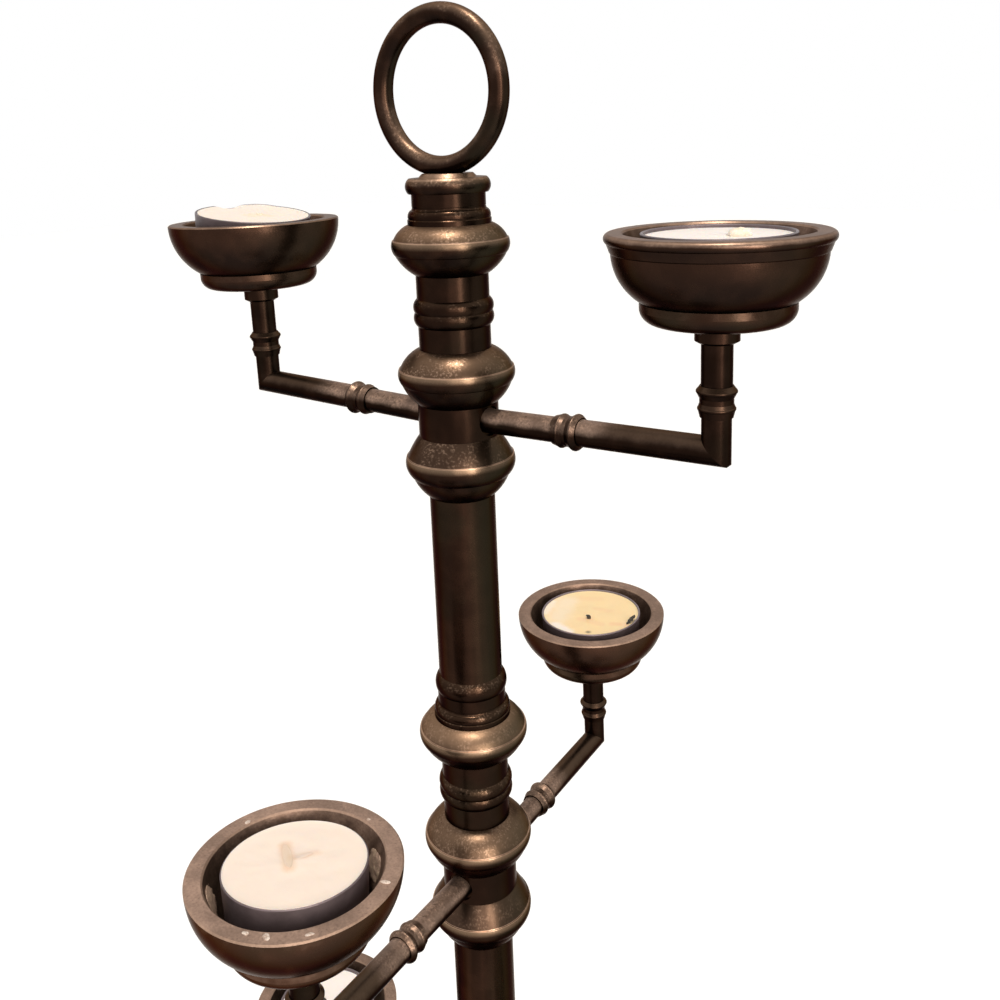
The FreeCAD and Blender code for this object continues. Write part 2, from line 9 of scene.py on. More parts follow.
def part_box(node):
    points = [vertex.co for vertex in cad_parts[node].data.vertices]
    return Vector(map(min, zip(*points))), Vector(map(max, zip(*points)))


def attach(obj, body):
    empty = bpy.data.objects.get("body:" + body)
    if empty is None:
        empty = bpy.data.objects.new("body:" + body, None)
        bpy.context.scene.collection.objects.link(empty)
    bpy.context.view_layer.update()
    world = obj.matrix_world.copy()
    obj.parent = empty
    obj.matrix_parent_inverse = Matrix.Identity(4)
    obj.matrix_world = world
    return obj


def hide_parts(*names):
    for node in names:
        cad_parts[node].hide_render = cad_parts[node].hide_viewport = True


bl_info = {
    "name": "Tealight Candelabra",
    "version": (1, 0, 0),
    "blender": (4, 5, 0),
    "location": "3D View > Sidebar > Candelabra",
    "description": "Aged brass, burnt-down tealights and a plain studio for a three-tier candelabra",
    "category": "Object",
}

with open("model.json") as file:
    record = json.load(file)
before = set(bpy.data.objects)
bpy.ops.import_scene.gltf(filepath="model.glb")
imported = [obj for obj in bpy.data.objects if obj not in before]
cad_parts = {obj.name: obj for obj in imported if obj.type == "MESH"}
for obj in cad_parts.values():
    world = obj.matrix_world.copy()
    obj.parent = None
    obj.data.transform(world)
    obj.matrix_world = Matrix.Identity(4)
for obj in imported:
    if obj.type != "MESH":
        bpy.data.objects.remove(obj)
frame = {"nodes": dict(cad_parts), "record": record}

MILLIMETRE = 0.001

BODY_OF_NODE = {node: body
                for body, nodes in frame["record"]["behaviour"]["bodies"].items()
                for node in nodes}
CANDLE = "tealight_candle_"
TIN = "tealight_tin_"
CUPS = sorted(node[len(CANDLE):] for node in frame["nodes"] if node.startswith(CANDLE))
ASKEW_CUP = "1_left"

# What counts as one flat top of a CAD node
FLAT_UPRIGHT = 0.95
FLAT_GAP = 0.04 * MILLIMETRE
FLAT_TURN = 0.99999
FLAT_AREA = 100 * MILLIMETRE ** 2

# Cups: how much bloom the rim has, and how pale the bowl is
CUP_FINISHES = {"1_left": (0.25, 1.9), "1_right": (0.45, 1.65), "2_back": (0.7, 2.6),
                "2_front": (1.0, 3.0), "3_left": (0.6, 2.2), "3_right": (0.5, 2.0)}

# Collars: how far the turned edge lies below the top in millimetres, how much painted light from
# above its upper side has, and its share of the specks
COLLARS = {"upper_collar_": (8.3, 0.95, 1.0), "lower_collar_": (9.85, 0.58, 1.0),
           "support_collar_": (6.45, 0.17, 0.5)}

# How speckled the collars of the top tier and of the others are
TOP_SPECKS = 0.95
LOWER_SPECKS = 0.5

# Upwards, and the side on which painted shade, tinted olive, lies
UP = (0.0, 0.0, 1.0)
SHADE_DIRECTION = (0.86, 0.5, 0.0)

# Gloss of the brass, and how deep its pits and lines look
BRASS_IOR = 1.45
BRASS_TINT = (0.45, 0.40, 0.38)
BRASS_METALLIC = 0.97
BRASS_RELIEF = 0.05 * MILLIMETRE

# Sizes of the patterns in the brass, and how far turning lines and streaks are drawn out
BROAD = 20.0 * MILLIMETRE
CLOUD = 5.0 * MILLIMETRE
GRAIN = 0.7 * MILLIMETRE
TURNING_LINE = 0.3 * MILLIMETRE
TURNING_STRETCH = (0.04, 0.04, 1.0)
STREAK = 4.0 * MILLIMETRE
STREAK_STRETCH = (1.0, 1.0, 0.05)
GREEN_PATCH = 26.0 * MILLIMETRE

# Smooth steps in the brass: where each starts and where it is full
UNDERSIDE_SHADE_STEP = (-0.6, 0.35)
PATCH_STEP = (0.42, 0.66)
STREAK_STEP = (0.42, 0.7)
GREEN_STEP = (0.52, 0.68)
SHADE_STEP = (0.05, 0.95)
TOP_LIGHT_STEP = (0.1, 0.75)
DUST_STEP = (-0.05, 0.5)
BLOOM_STEP = (0.35, 0.65)
OPEN_STEP = (0.0, 0.6)
CLUSTER_STEP = (0.38, 0.6)
PALE_SPECK_STEP = (0.53, 0.62)
DARK_SPECK_STEP = (0.42, 0.32)
WORN_START_STEP = (0.5, 0.62)
WORN_END_STEP = (0.9, 0.78)
RUBBED_STEP = (0.3, 0.6)

# How pale the patches, streaks and the green of the painted top light are, and the darker and paler
# bloom
PATCH_TONE = 1.9
STREAK_TONE = 2.2
GREEN_TOP_LIGHT_TONE = 2.2
GREEN_TONE_LIMIT = 1.3
BLOOM_TONES = (0.78, 1.25)

# How strong the green patches are, how far from the column's axis the bloom on the arms reaches
# before the painted shadow of the cups, how uneven that edge is, and the share of bloom left in
# the painted shadow
GREEN_SHARE = 0.4
SHADOW_EDGE_UNEVEN = 30.0 * MILLIMETRE
CUP_SHADOW_REACH = 54.0 * MILLIMETRE
SHADOWED_SHARE = 0.12

# The line rubbed bright on a turned edge, and the worn band from just above the edge downwards
LINE_STEP = (0.25 * MILLIMETRE, 0.075 * MILLIMETRE)
BAND_TOP_STEP = (-0.1 * MILLIMETRE, 0.0)
BAND_FOOT_STEP = (2.2 * MILLIMETRE, 0.0)
BAND_COLOUR = (0.19, 0.125, 0.08)

# Sizes of the patterns in the other finishes, how far scratches and pressing lines are drawn out,
# how deep each surface looks, and how deep light goes into the wax
STEEL_CLOUD = 3.0 * MILLIMETRE
STEEL_SCRATCH = 0.4 * MILLIMETRE
SCRATCH_STRETCH = (1.0, 0.2, 0.2)
STEEL_RELIEF = 0.04 * MILLIMETRE
FELT_CLOUD = 6.0 * MILLIMETRE
FELT_FIBRE = 0.5 * MILLIMETRE
FELT_RELIEF = 0.4 * MILLIMETRE
TIN_CLOUD = 6.0 * MILLIMETRE
TIN_GRAIN = 0.6 * MILLIMETRE
PRESSING_LINE = 0.5 * MILLIMETRE
PRESSING_STRETCH = (1.0, 1.0, 0.05)
TIN_RELIEF = 0.05 * MILLIMETRE
WAX_CLOUD = 9.0 * MILLIMETRE
WAX_GRAIN = 1.2 * MILLIMETRE
WAX_RELIEF = 0.2 * MILLIMETRE
WAX_LIGHT_DEPTH = 1.5 * MILLIMETRE
CHAR_GRAIN = 0.4 * MILLIMETRE
CHAR_RELIEF = 0.1 * MILLIMETRE
SPILL_GRAIN = 0.6 * MILLIMETRE
SPILL_CRUMPLE = 1.4 * MILLIMETRE
SPILL_RELIEF = 0.25 * MILLIMETRE
SPILL_BARE_STEP = (0.62, 0.42)

# The darker and the paler colour of the hidden fixings and the felt
STEEL_COLOURS = ((0.32, 0.31, 0.29), (0.52, 0.51, 0.49))
FELT_COLOURS = ((0.035, 0.032, 0.03), (0.11, 0.1, 0.095))

# How far the wax has risen over its plain solid, in millimetres as every length of the tealights
# is, the rise past which it covers the tin's rim, and how much wider it is then
WAX_RISES = {"1_left": 1.05, "1_right": 0.5, "2_back": 0.9, "2_front": 1.3, "3_left": 0.3,
             "3_right": 0.3}
WAX_BRIMFUL = 1.2
WAX_SPREAD = 1.018

# The wax is even along the wall and gets uneven over this width, with waves of this size and
# height
WAX_CALM_EDGE = 1.5
WAX_CALM_FADE = 3.0
WAX_WAVES = (7.0, 0.5)
WAX_SIDES = 72

# Insets of the wax from the tin's wall inwards, and how far each one rises
WAX_RINGS = ((0.35, -0.1), (0.7, -0.1), (1.4, -0.06), (2.0, -0.02), (2.4, 0.0), (2.4, 0.0),
             (2.4, 0.0), (2.2, 0.03), (1.6, 0.06), (1.1, 0.08))

# Which wax each tealight has
WAX_COLOURS = {"1_left": "cream", "1_right": "white", "2_back": "yellow", "2_front": "rosy",
               "3_left": "white", "3_right": "cream"}

# Stains on the wax, and one painted shadow beside the burnt scrap: where the line of each starts
# and ends, its width, colour and strength
WAX_STAINS_AND_SHADOW = {
    "1_left": (((1.0, -2.0), (4.0, 2.0), 4.5, "yellow", 0.35),),
    "1_right": (((4.4, 1.8), (4.9, 2.0), 3.8, "yellow", 0.8),),
    "2_back": (((1.6, -4.0), (1.6, -4.0), 2.8, "tan", 0.75),
               ((6.9, -13.4), (6.9, -13.4), 1.6, "char", 0.75),
               # This tan line beside the burnt scrap is a painted shadow of the scrap
               ((11.5, -3.4), (16.2, -1.5), 2.2, "tan", 0.6),
               ((-1.0, -6.3), (8.0, -5.6), 2.4, "tan", 0.4),
               ((0.0, 4.2), (5.0, 5.2), 2.6, "tan", 0.35),
               ((-9.0, 9.0), (-3.0, 12.0), 3.5, "tan", 0.25),
               ((-13.0, 3.0), (-9.0, -9.0), 7.0, "cream", 0.4),
               ((-7.0, -14.8), (0.5, -16.6), 3.0, "white", 0.8),
               ((-17.5, 0.0), (-15.5, -8.5), 3.0, "white", 0.5)),
    "2_front": (((-8.0, 3.9), (0.3, -2.5), 2.8, "tan", 0.5),
                ((-2.2, 0.8), (1.4, 6.2), 2.3, "tan", 0.3)),
    "3_left": (((0.0, 0.0), (0.1, 0.0), 3.0, "tan", 0.4),),
    "3_right": (((0.0, 0.0), (0.1, 0.0), 3.0, "tan", 0.4),),
}

# Wicks: place on the wax, radius, and the steps (sideways, up, width left) that they grow by,
# which way they bend, how far down they are black, and how frayed they are
WICKS = {
    "2_back": ((1.6, -4.0), 0.8, ((0.1, 0.4, 1.0), (0.2, 0.35, 1.1), (0.3, 0.25, 0.7))),
    "3_left": ((0.0, 0.0), 0.7, ((0.1, 1.2, 1.0), (0.4, 1.1, 1.05), (0.8, 0.8, 1.1),
                                 (0.8, 0.4, 0.7))),
    "3_right": ((0.5, 0.8), 0.7, ((0.1, 1.0, 1.0), (0.3, 1.2, 1.0), (0.7, 1.1, 1.1),
                                  (0.9, 0.5, 0.7))),
}
WICK_TURN = 200.0
WICK_BLACK = 2.0
WICK_FRAY = (0.5, 0.16)
WICK_SIDES = 12

# Lumps of wax on the wax itself, over drowned wicks: place, size and turn. A lump's size is half
# its length, half its width and its height.
WAX_LUMPS = {
    "waxed_wick_1_right": ("1_right", (4.6, 1.9), (3.0, 2.2, 1.7), 30.0),
    "waxed_wick_1_left": ("1_left", (2.0, 1.0), (1.4, 1.1, 0.45), 0.0),
    "drowned_wick_2_front": ("2_front", (-3.7, 0.7), (5.4, 1.2, 0.15), -36.0),
    "drowned_char_2_front": ("2_front", (-0.3, 3.1), (2.6, 0.8, 0.07), 62.0),
}

# How uneven the lumps are: the size of their dents, and their depth as a share of the height, and
# where the foot of every lump is cut, as a share of its height
LUMP_DENT = 1.6
LUMP_DENT_SHARE = 0.5
LUMP_FOOT = -0.2

# The burnt scrap at the edge of the back tealight, with the size and depth of its dents
SCRAP_CUP = "2_back"
SCRAP_PLACE = (16.9, 1.2)
SCRAP_SIZE = (2.6, 0.75, 0.8)
SCRAP_TURN = 76.0
SCRAP_LIFT = -22.0
SCRAP_RISE = 0.8
SCRAP_BLACK = 4.0
SCRAP_DENTS = (0.9, 0.7)

# Wax spilt on the front cup's rim: place from the middle of the rim, size and turn, then how pale
# and how thin it is, and the size and depth of its dents
SPILL_CUP = "2_front"
RIM_SPILLS = (((-23.9, 4.9), (0.9, 0.6, 0.16), 100.0),
              ((23.6, 8.2), (1.5, 0.6, 0.3), 20.0),
              ((13.0, -21.4), (1.3, 0.8, 0.2), -30.0),
              ((8.0, -23.4), (0.9, 0.6, 0.18), 10.0),
              ((20.9, -15.1), (1.2, 0.5, 0.16), 50.0),
              ((2.9, 24.3), (0.6, 0.5, 0.14), 0.0))
SPILL_TONE = 0.72
SPILL_THIN = 0.8
SPILL_DENTS = (0.6, 0.3)

# Wax film on the front cup's inner wall: angle round the cup, depth below the rim and size, then
# its colour, how thin it is and its dents
WALL_FILMS = ((59.0, 7.0, (3.6, 6.0, 0.5)), (-128.0, 5.8, (3.6, 6.0, 0.45)))
FILM_COLOUR = (0.44, 0.32, 0.22)
FILM_THIN = 0.9
FILM_DENTS = (0.9, 0.7)

# A cup's inner wall: its radius at the rim, and how much it narrows downwards
CUP_WALL_RADIUS = 23.15
CUP_WALL_SLOPE = 4.65 / 14.7

# The modelled tins, measured from the middle of the plain solid's top
TIN_BOTTOM = -13.1
TIN_RIM_FOOT = 0.85
TIN_BOTTOM_RADIUS = 18.2
TIN_TOP_RADIUS = 18.9
TIN_WALL = 0.35
TIN_BEAD = 0.32
TIN_SIDES = 128
TIN_BEAD_SIDES = 12
TIN_WALL_CUTS = 5

# Dents in the edge of the askew tealight: angle round it, push and reach, and how much of the
# edge the push takes hold of
TIN_DENTS = ((131.0, (0.2, -0.3, -1.1), 5.0), (95.0, (0.0, -0.1, 0.3), 5.0))
DENT_GRIP = 1.2

# The top of the askew tealight is bent back towards level, about axes along and across this
# direction, and the front tealight is tipped up on the side of its own direction
ASKEW_DIRECTION = 35.8
ASKEW_BENDS = (("Y", 3.0), ("X", -2.4))
ASKEW_BEND_FROM = -4.0
TIPPED_CUP = "2_front"
TIPPED_DIRECTION = -48.0
TIPPED_BY = 3.5

# Angle in degrees up to which an edge is shaded smooth
SMOOTH_ANGLE = 60.0

# The floor's two tones, how broad their clouds are, and its glow
FLOOR_COLOURS = ((0.80, 0.795, 0.785), (0.83, 0.825, 0.82))
FLOOR_CLOUD = 0.5
FLOOR_GLOW_COLOUR = (1.0, 0.995, 0.985)
FLOOR_GLOW = 0.28

# The lights: where they stand, what the panels are aimed at, their colours and the panels' sizes
KEY_PLACE = (0.085, -0.135, 1.0)
KEY_COLOUR = (1.0, 0.955, 0.89)
PANEL_COLOUR = (1.0, 0.93, 0.85)
PANEL_TARGET = (0.0, 0.0, 0.38)
FRONT_SIZE = (0.22, 0.9)
FRONT_PLACE = (1.02, -0.55, 0.62)
FILL_SIZE = (0.9, 1.1)
FILL_PLACE = (0.95, -1.05, 0.7)

# How near to the camera a thing is still seen
NEAREST_SEEN = 10.0 * MILLIMETRE


class BrassSettings(bpy.types.PropertyGroup):
    # Painted shade on faces that look down, and the patina of the dark specks
    patina_and_shade: bpy.props.FloatVectorProperty(
        name="Patina", description="Dark brown skin on sheltered and lower surfaces",
        default=(0.007, 0.0042, 0.0033), subtype="COLOR")
    body: bpy.props.FloatVectorProperty(
        name="Body", description="Brown of the open sides",
        default=(0.0215, 0.0102, 0.0063), subtype="COLOR")
    # Painted light: the paler brass of the domes and other upper sides
    top_light: bpy.props.FloatVectorProperty(
        name="Crown", description="Brown of the domes and other upper sides",
        default=(0.2, 0.12, 0.071), subtype="COLOR")
    rubbed: bpy.props.FloatVectorProperty(
        name="Rubbed", description="Brass that shows on sharp turned edges",
        default=(0.44, 0.285, 0.195), subtype="COLOR")
    dust: bpy.props.FloatVectorProperty(
        name="Dust", description="Dull pinkish brown bloom on rims and rods",
        default=(0.36, 0.24, 0.18), subtype="COLOR")
    # Green of the green patches, and the olive tint of the painted shade on the right side
    verdigris_and_shade: bpy.props.FloatVectorProperty(
        name="Verdigris", description="Faint green of old brass",
        default=(0.0165, 0.0148, 0.0088), subtype="COLOR")


class TealightSettings(bpy.types.PropertyGroup):
    white: bpy.props.FloatVectorProperty(
        name="White wax", description="Wax of the top right and lowest left tealights",
        default=(0.88, 0.805, 0.755), subtype="COLOR")
    cream: bpy.props.FloatVectorProperty(
        name="Cream wax", description="Wax of the top left and lowest right tealights",
        default=(0.88, 0.77, 0.67), subtype="COLOR")
    rosy: bpy.props.FloatVectorProperty(
        name="Rosy wax", description="Wax of the front tealight",
        default=(0.93, 0.785, 0.675), subtype="COLOR")
    yellow: bpy.props.FloatVectorProperty(
        name="Yellow wax", description="Old wax of the back tealight",
        default=(0.87, 0.655, 0.365), subtype="COLOR")
    # Also the colour of the painted shadow beside the burnt scrap
    tan: bpy.props.FloatVectorProperty(
        name="Tan wax", description="Stains in the wax, and the foot of a wick",
        default=(0.80, 0.50, 0.29), subtype="COLOR")
    char: bpy.props.FloatVectorProperty(
        name="Char", description="Burnt wick",
        default=(0.022, 0.017, 0.010), subtype="COLOR")
    tin: bpy.props.FloatVectorProperty(
        name="Tin", description="Sooty aluminium of the tealight tins",
        default=(0.15, 0.115, 0.12), subtype="COLOR")


class StageSettings(bpy.types.PropertyGroup):
    camera_place: bpy.props.FloatVectorProperty(
        name="Camera place", description="Where the camera stands",
        default=(0.18877, -0.23541, 0.52587), subtype="TRANSLATION", unit="LENGTH")
    camera_turn: bpy.props.FloatVectorProperty(
        name="Camera turn", description="Which way the camera looks",
        default=(math.radians(77.288), math.radians(2.099), math.radians(35.787)),
        subtype="EULER")
    camera_lens: bpy.props.FloatProperty(
        name="Lens", description="Focal length in millimetres on a 36 mm sensor",
        default=37.329)
    camera_shift: bpy.props.FloatProperty(
        name="Shift", description="Vertical shift of the view, as a share of its width",
        default=-0.1348)
    key_strength: bpy.props.FloatProperty(
        name="Overhead light", description="Strength of the light almost straight above",
        default=2.1)
    key_angle: bpy.props.FloatProperty(
        name="Overhead size", description="How wide the overhead light looks",
        default=math.radians(3.5), subtype="ANGLE")
    front_radiance: bpy.props.FloatProperty(
        name="Front light", description="Radiance of the tall soft light beside the camera",
        default=14.0)
    fill_radiance: bpy.props.FloatProperty(
        name="Fill light", description="Radiance of the broad light behind the front one",
        default=2.4)
    ambient: bpy.props.FloatProperty(
        name="Ambient light", description="Strength of the light from all round",
        default=0.3)
    floor_size: bpy.props.FloatProperty(
        name="Floor size", description="Side of the square floor",
        default=12.0, unit="LENGTH")


class CandelabraSettings(bpy.types.PropertyGroup):
    brass: bpy.props.PointerProperty(type=BrassSettings)
    tealights: bpy.props.PointerProperty(type=TealightSettings)
    stage: bpy.props.PointerProperty(type=StageSettings)


class Socket:
    """One output of a shader node, on which plain arithmetic adds Math nodes."""

    def __init__(self, finish, output):
        self.finish = finish
        self.output = output

    def math(self, operation, first, second, clamp=False):
        return self.finish.node("ShaderNodeMath", {"operation": operation, "use_clamp": clamp},
                                {0: first, 1: second})

    def __add__(self, other):
        return self.math("ADD", self, other)

    def __sub__(self, other):
        return self.math("SUBTRACT", self, other)

    def __rsub__(self, other):
        return self.math("SUBTRACT", other, self)

    def __mul__(self, other):
        return self.math("MULTIPLY", self, other)

    __radd__ = __add__
    __rmul__ = __mul__

    def limited(self):
        return self.math("ADD", self, 0.0, clamp=True)

    def larger(self, other):
        return self.math("MAXIMUM", self, other)


class Finish:
    """A material with one principled shader and the nodes that feed it."""

    def __init__(self, name, constants):
        self.material = bpy.data.materials.new(name)
        self.material.use_nodes = True
        self.tree = self.material.node_tree
        self.shader = self.tree.nodes["Principled BSDF"]
        for socket, value in constants.items():
            self.feed(socket, value)

    def feed(self, socket, value):
        """Set or link a socket of the shader."""
        self._set(self.shader.inputs[socket], value)

    def _set(self, socket, value):
        """Link a socket to a node's output, or give it a colour or a value."""
        if isinstance(value, Socket):
            self.tree.links.new(value.output, socket)
        elif socket.type == "RGBA":
            socket.default_value = (*value, 1)
        else:
            socket.default_value = value

    def node(self, kind, settings, sockets, output=0):
        """Add a node: its settings first, then its sockets, and one output to go on with."""
        made = self.tree.nodes.new(kind)
        for name, value in settings.items():
            setattr(made, name, value)
        for key, value in sockets.items():
            self._set(made.inputs[key], value)
        return Socket(self, made.outputs[output])

    def place(self, stretch=None):
        """Object coordinates, stretched along the axes."""
        raw = self.node("ShaderNodeTexCoord", {}, {}, "Object")
        if not stretch:
            return raw
        return self.node("ShaderNodeMapping", {"vector_type": "POINT"},
                         {"Vector": raw, "Scale": stretch})

    def part(self, vector, axis):
        return self.node("ShaderNodeSeparateXYZ", {}, {0: vector}, axis)

    def facing(self, direction):
        """From -1 where the surface looks away from a direction to 1 where it looks along it."""
        normal = self.node("ShaderNodeTexCoord", {}, {}, "Normal")
        return self.vector("DOT_PRODUCT", normal, direction, "Value")

    def noise(self, size, detail, roughness, stretch=None):
        """Noise between 0 and 1 with features of the given size in metres."""
        return self.node("ShaderNodeTexNoise", {},
                         {"Vector": self.place(stretch), "Scale": 1 / size, "Detail": detail,
                          "Roughness": roughness}, "Fac")

    def step(self, value, low, high):
        """0 below low, 1 above high, a smooth step between, and turned round if low > high."""
        return self.node("ShaderNodeMapRange", {"interpolation_type": "SMOOTHSTEP"},
                         {"Value": value, "From Min": low, "From Max": high})

    def blend(self, share, first, second):
        """Mix two colours."""
        return self.node("ShaderNodeMix", {"data_type": "RGBA"}, {0: share, 6: first, 7: second}, 2)

    def vector(self, operation, first, second=(0, 0, 0), output=0):
        return self.node("ShaderNodeVectorMath", {"operation": operation},
                         {0: first, 1: second}, output)

    def away_from(self, start, end):
        """Distance in metres from the line between two points, which may be one point."""
        line = end - start
        from_start = self.vector("SUBTRACT", self.place(), start)
        if not line.length:
            return self.vector("LENGTH", from_start, output="Value")
        along = self.vector("DOT_PRODUCT", from_start, line, "Value") * (1 / line.length_squared)
        nearest = self.node("ShaderNodeVectorMath", {"operation": "SCALE"},
                            {0: line, "Scale": along.limited()})
        return self.vector("DISTANCE", from_start, nearest, "Value")

    def bump(self, height, distance, strength):
        return self.node("ShaderNodeBump", {},
                         {"Height": height, "Distance": distance, "Strength": strength})


class AgedBrass(Finish):
    """Aged brass: a dark skin, darker with painted shade underneath and on the right side, paler
    with painted light on upper sides, and rubbed bright on sharp turned edges.

    top_light, specks, dust, streaks, worn and mottle say how much painted light on the upper side,
    speckle, bloom, soft upright streaks, rubbed corners and patches show, and shaded how strong
    the painted shade, tinted dark olive, on the side at the back on the right is. cup_shadow_reach
    is how far out from the column the bloom and specks go before the painted shadow of the cups,
    ridge the height of a turned edge rubbed bright, rough how dull the brass is and tone how pale
    its skin is.
    """

    def __init__(self, name, top_light=0.6, specks=0.5, dust=0.0, cup_shadow_reach=0.0, streaks=0.0,
                 worn=0.0, ridge=0.0, rough=0.27, tone=1.0, mottle=0.3, old=0.8):
        super().__init__(name, {"IOR": BRASS_IOR, "Specular Tint": BRASS_TINT})
        brass = settings().brass
        self.up = self.facing(UP)
        self.broad = self.noise(BROAD, 2.0, 0.5)
        self.cloud = self.noise(CLOUD, 3.0, 0.55)
        self.grain = self.noise(GRAIN, 3.0, 0.6)
        # Painted shade, tinted dark olive, on the side at the back on the right, merged with the
        # real green patches; it also holds back the bloom, specks and rubbed edges there
        self.shaded_side = self.step(self.facing(SHADE_DIRECTION) + (self.broad - 0.5) * 0.6, *SHADE_STEP) * old
        self.green_and_shade = self.step(self.noise(GREEN_PATCH, 2.0, 0.5), *GREEN_STEP) * GREEN_SHARE
        self.green_and_shade = self.green_and_shade.larger(self.shaded_side)
        # The bloom and specks stop where the painted shadow of the cups on the arms begins
        before_cup_shadow = self.before_cup_shadow(cup_shadow_reach) if cup_shadow_reach else 1.0
        # Painted light from above: upper sides take paler brass
        top_lit = self.step(self.up + (self.cloud - 0.5) * 0.3, *TOP_LIGHT_STEP) * top_light
        dust_outside_shade = self.dust_outside_shade(dust, before_cup_shadow)
        pale, dark = self.speckle(before_cup_shadow * specks)

        colour = self.skin(brass, tone, mottle, streaks)
        # Painted light on upper sides, tinted green where the green patches and the painted olive
        # shade lie
        colour = self.blend(top_lit, colour, brass.top_light)
        green_top_light = scaled(brass.verdigris_and_shade, GREEN_TOP_LIGHT_TONE)
        colour = self.blend(self.green_and_shade * top_lit, colour, green_top_light)
        colour = self.blend(dust_outside_shade, colour, self.bloom(brass.dust))
        colour = self.blend(pale * 0.65, colour, brass.rubbed)
        colour = self.blend(dark * 0.7, colour, brass.patina_and_shade)
        if worn:
            corner = self.step(self.up, *WORN_START_STEP) * self.step(self.up, *WORN_END_STEP)
            colour = self.rub(corner * worn, colour, brass.rubbed)
        if ridge:
            colour = self.turned_edge(ridge, colour, brass.rubbed)

        self.feed("Base Color", colour)
        self.feed("Metallic", (BRASS_METALLIC - dust_outside_shade * 0.55 - dark * 0.2).limited())
        self.feed("Roughness", (rough + top_lit * 0.13 + dust_outside_shade * 0.2 + (self.cloud - 0.5) * 0.08
                                + dark * 0.15).limited())
        lines = self.noise(TURNING_LINE, 1.0, 0.5, stretch=TURNING_STRETCH)
        relief = self.grain * 0.6 - dark * 0.5 + pale * 0.3 + lines * 0.3
        self.feed("Normal", self.bump(relief, BRASS_RELIEF, 0.6))

    def skin(self, brass, tone, mottle, streaks):
        """Painted shade underneath and brown on open sides, with patches, streaks and a faint green,
        which also tints the painted shade on the right side.
        """
        # Painted shade: faces that look down take the dark colour, open sides the brown
        side = self.step(self.up + (self.broad - 0.5) * 0.5, *UNDERSIDE_SHADE_STEP)
        skin = self.blend(side, scaled(brass.patina_and_shade, tone), scaled(brass.body, tone))
        patches = self.step(self.cloud * 0.5 + self.broad * 0.5, *PATCH_STEP) * mottle
        skin = self.blend(patches, skin, scaled(brass.body, tone * PATCH_TONE))
        if streaks:
            streak = self.step(self.noise(STREAK, 2.0, 0.5, stretch=STREAK_STRETCH), *STREAK_STEP)
            skin = self.blend(streak * streaks, skin, scaled(brass.body, tone * STREAK_TONE))
        return self.blend(self.green_and_shade, skin, scaled(brass.verdigris_and_shade, min(tone, GREEN_TONE_LIMIT)))

    def before_cup_shadow(self, reach):
        """1 near the column and 0 beyond a reach from its axis, where the painted shadow of the cups
        lies, with an uneven edge.
        """
        flat = self.vector("MULTIPLY", self.place(), (1.0, 1.0, 0.0))
        out = self.vector("LENGTH", flat, output="Value") + (self.broad - 0.5) * SHADOW_EDGE_UNEVEN
        return self.step(out, reach * 1.1, reach * 0.9)

    def dust_outside_shade(self, dust, before_cup_shadow):
        """How much bloom lies on the upper sides, less in the painted shade on the right side and in
        the painted shadow of the cups.
        """
        upper = self.step(self.up + (self.cloud - 0.5) * 0.35, *DUST_STEP)
        dust_outside_shade = upper * dust * (1.0 - self.shaded_side * 0.85)
        dust_outside_shade = dust_outside_shade * (SHADOWED_SHARE + before_cup_shadow * (1.0 - SHADOWED_SHARE))
        return (dust_outside_shade * (0.8 + (self.grain - 0.5) * 0.9)).limited()

    def bloom(self, dust):
        """The bloom's colour, darker and paler in patches."""
        patches = self.step(self.broad * 0.6 + self.cloud * 0.4, *BLOOM_STEP)
        return self.blend(patches, *(scaled(dust, tone) for tone in BLOOM_TONES))

    def speckle(self, share):
        """Pale and dark specks, in clusters on sides that are open upwards."""
        clusters = self.step(self.up, *OPEN_STEP) * self.step(self.cloud, *CLUSTER_STEP)
        # Fewer specks in the painted shade on the right side
        clusters = clusters * (1.0 - self.shaded_side * 0.8)
        return [(self.step(self.grain, *step) * clusters * share).limited()
                for step in (PALE_SPECK_STEP, DARK_SPECK_STEP)]

    def turned_edge(self, ridge, colour, rubbed):
        """A line rubbed bright on a turned edge, with a worn band under it."""
        below = ridge - self.part(self.place(), "Z")
        band = self.step(below, *BAND_FOOT_STEP) * self.step(below, *BAND_TOP_STEP)
        # Less of the worn band in the green patches and in the painted shade
        colour = self.blend(band * (1.0 - self.green_and_shade * 0.6) * 0.85, colour, BAND_COLOUR)
        away = self.node("ShaderNodeMath", {"operation": "ABSOLUTE"}, {0: below})
        return self.rub(self.step(away, *LINE_STEP), colour, rubbed)

    def rub(self, edge, colour, rubbed):
        """Brass that shows along an edge, unevenly and less in the painted shade on the right side.
        """
        uneven = 0.45 + self.step(self.cloud, *RUBBED_STEP) * 0.45
        share = (edge * uneven * (1.0 - self.shaded_side * 0.6)).limited()
        return self.blend(share, colour, rubbed)


class Surround(Finish):
    """The world's background, fed in the same way as a material."""

    def __init__(self, world):
        self.tree = world.node_tree
        self.shader = self.tree.nodes["Background"]


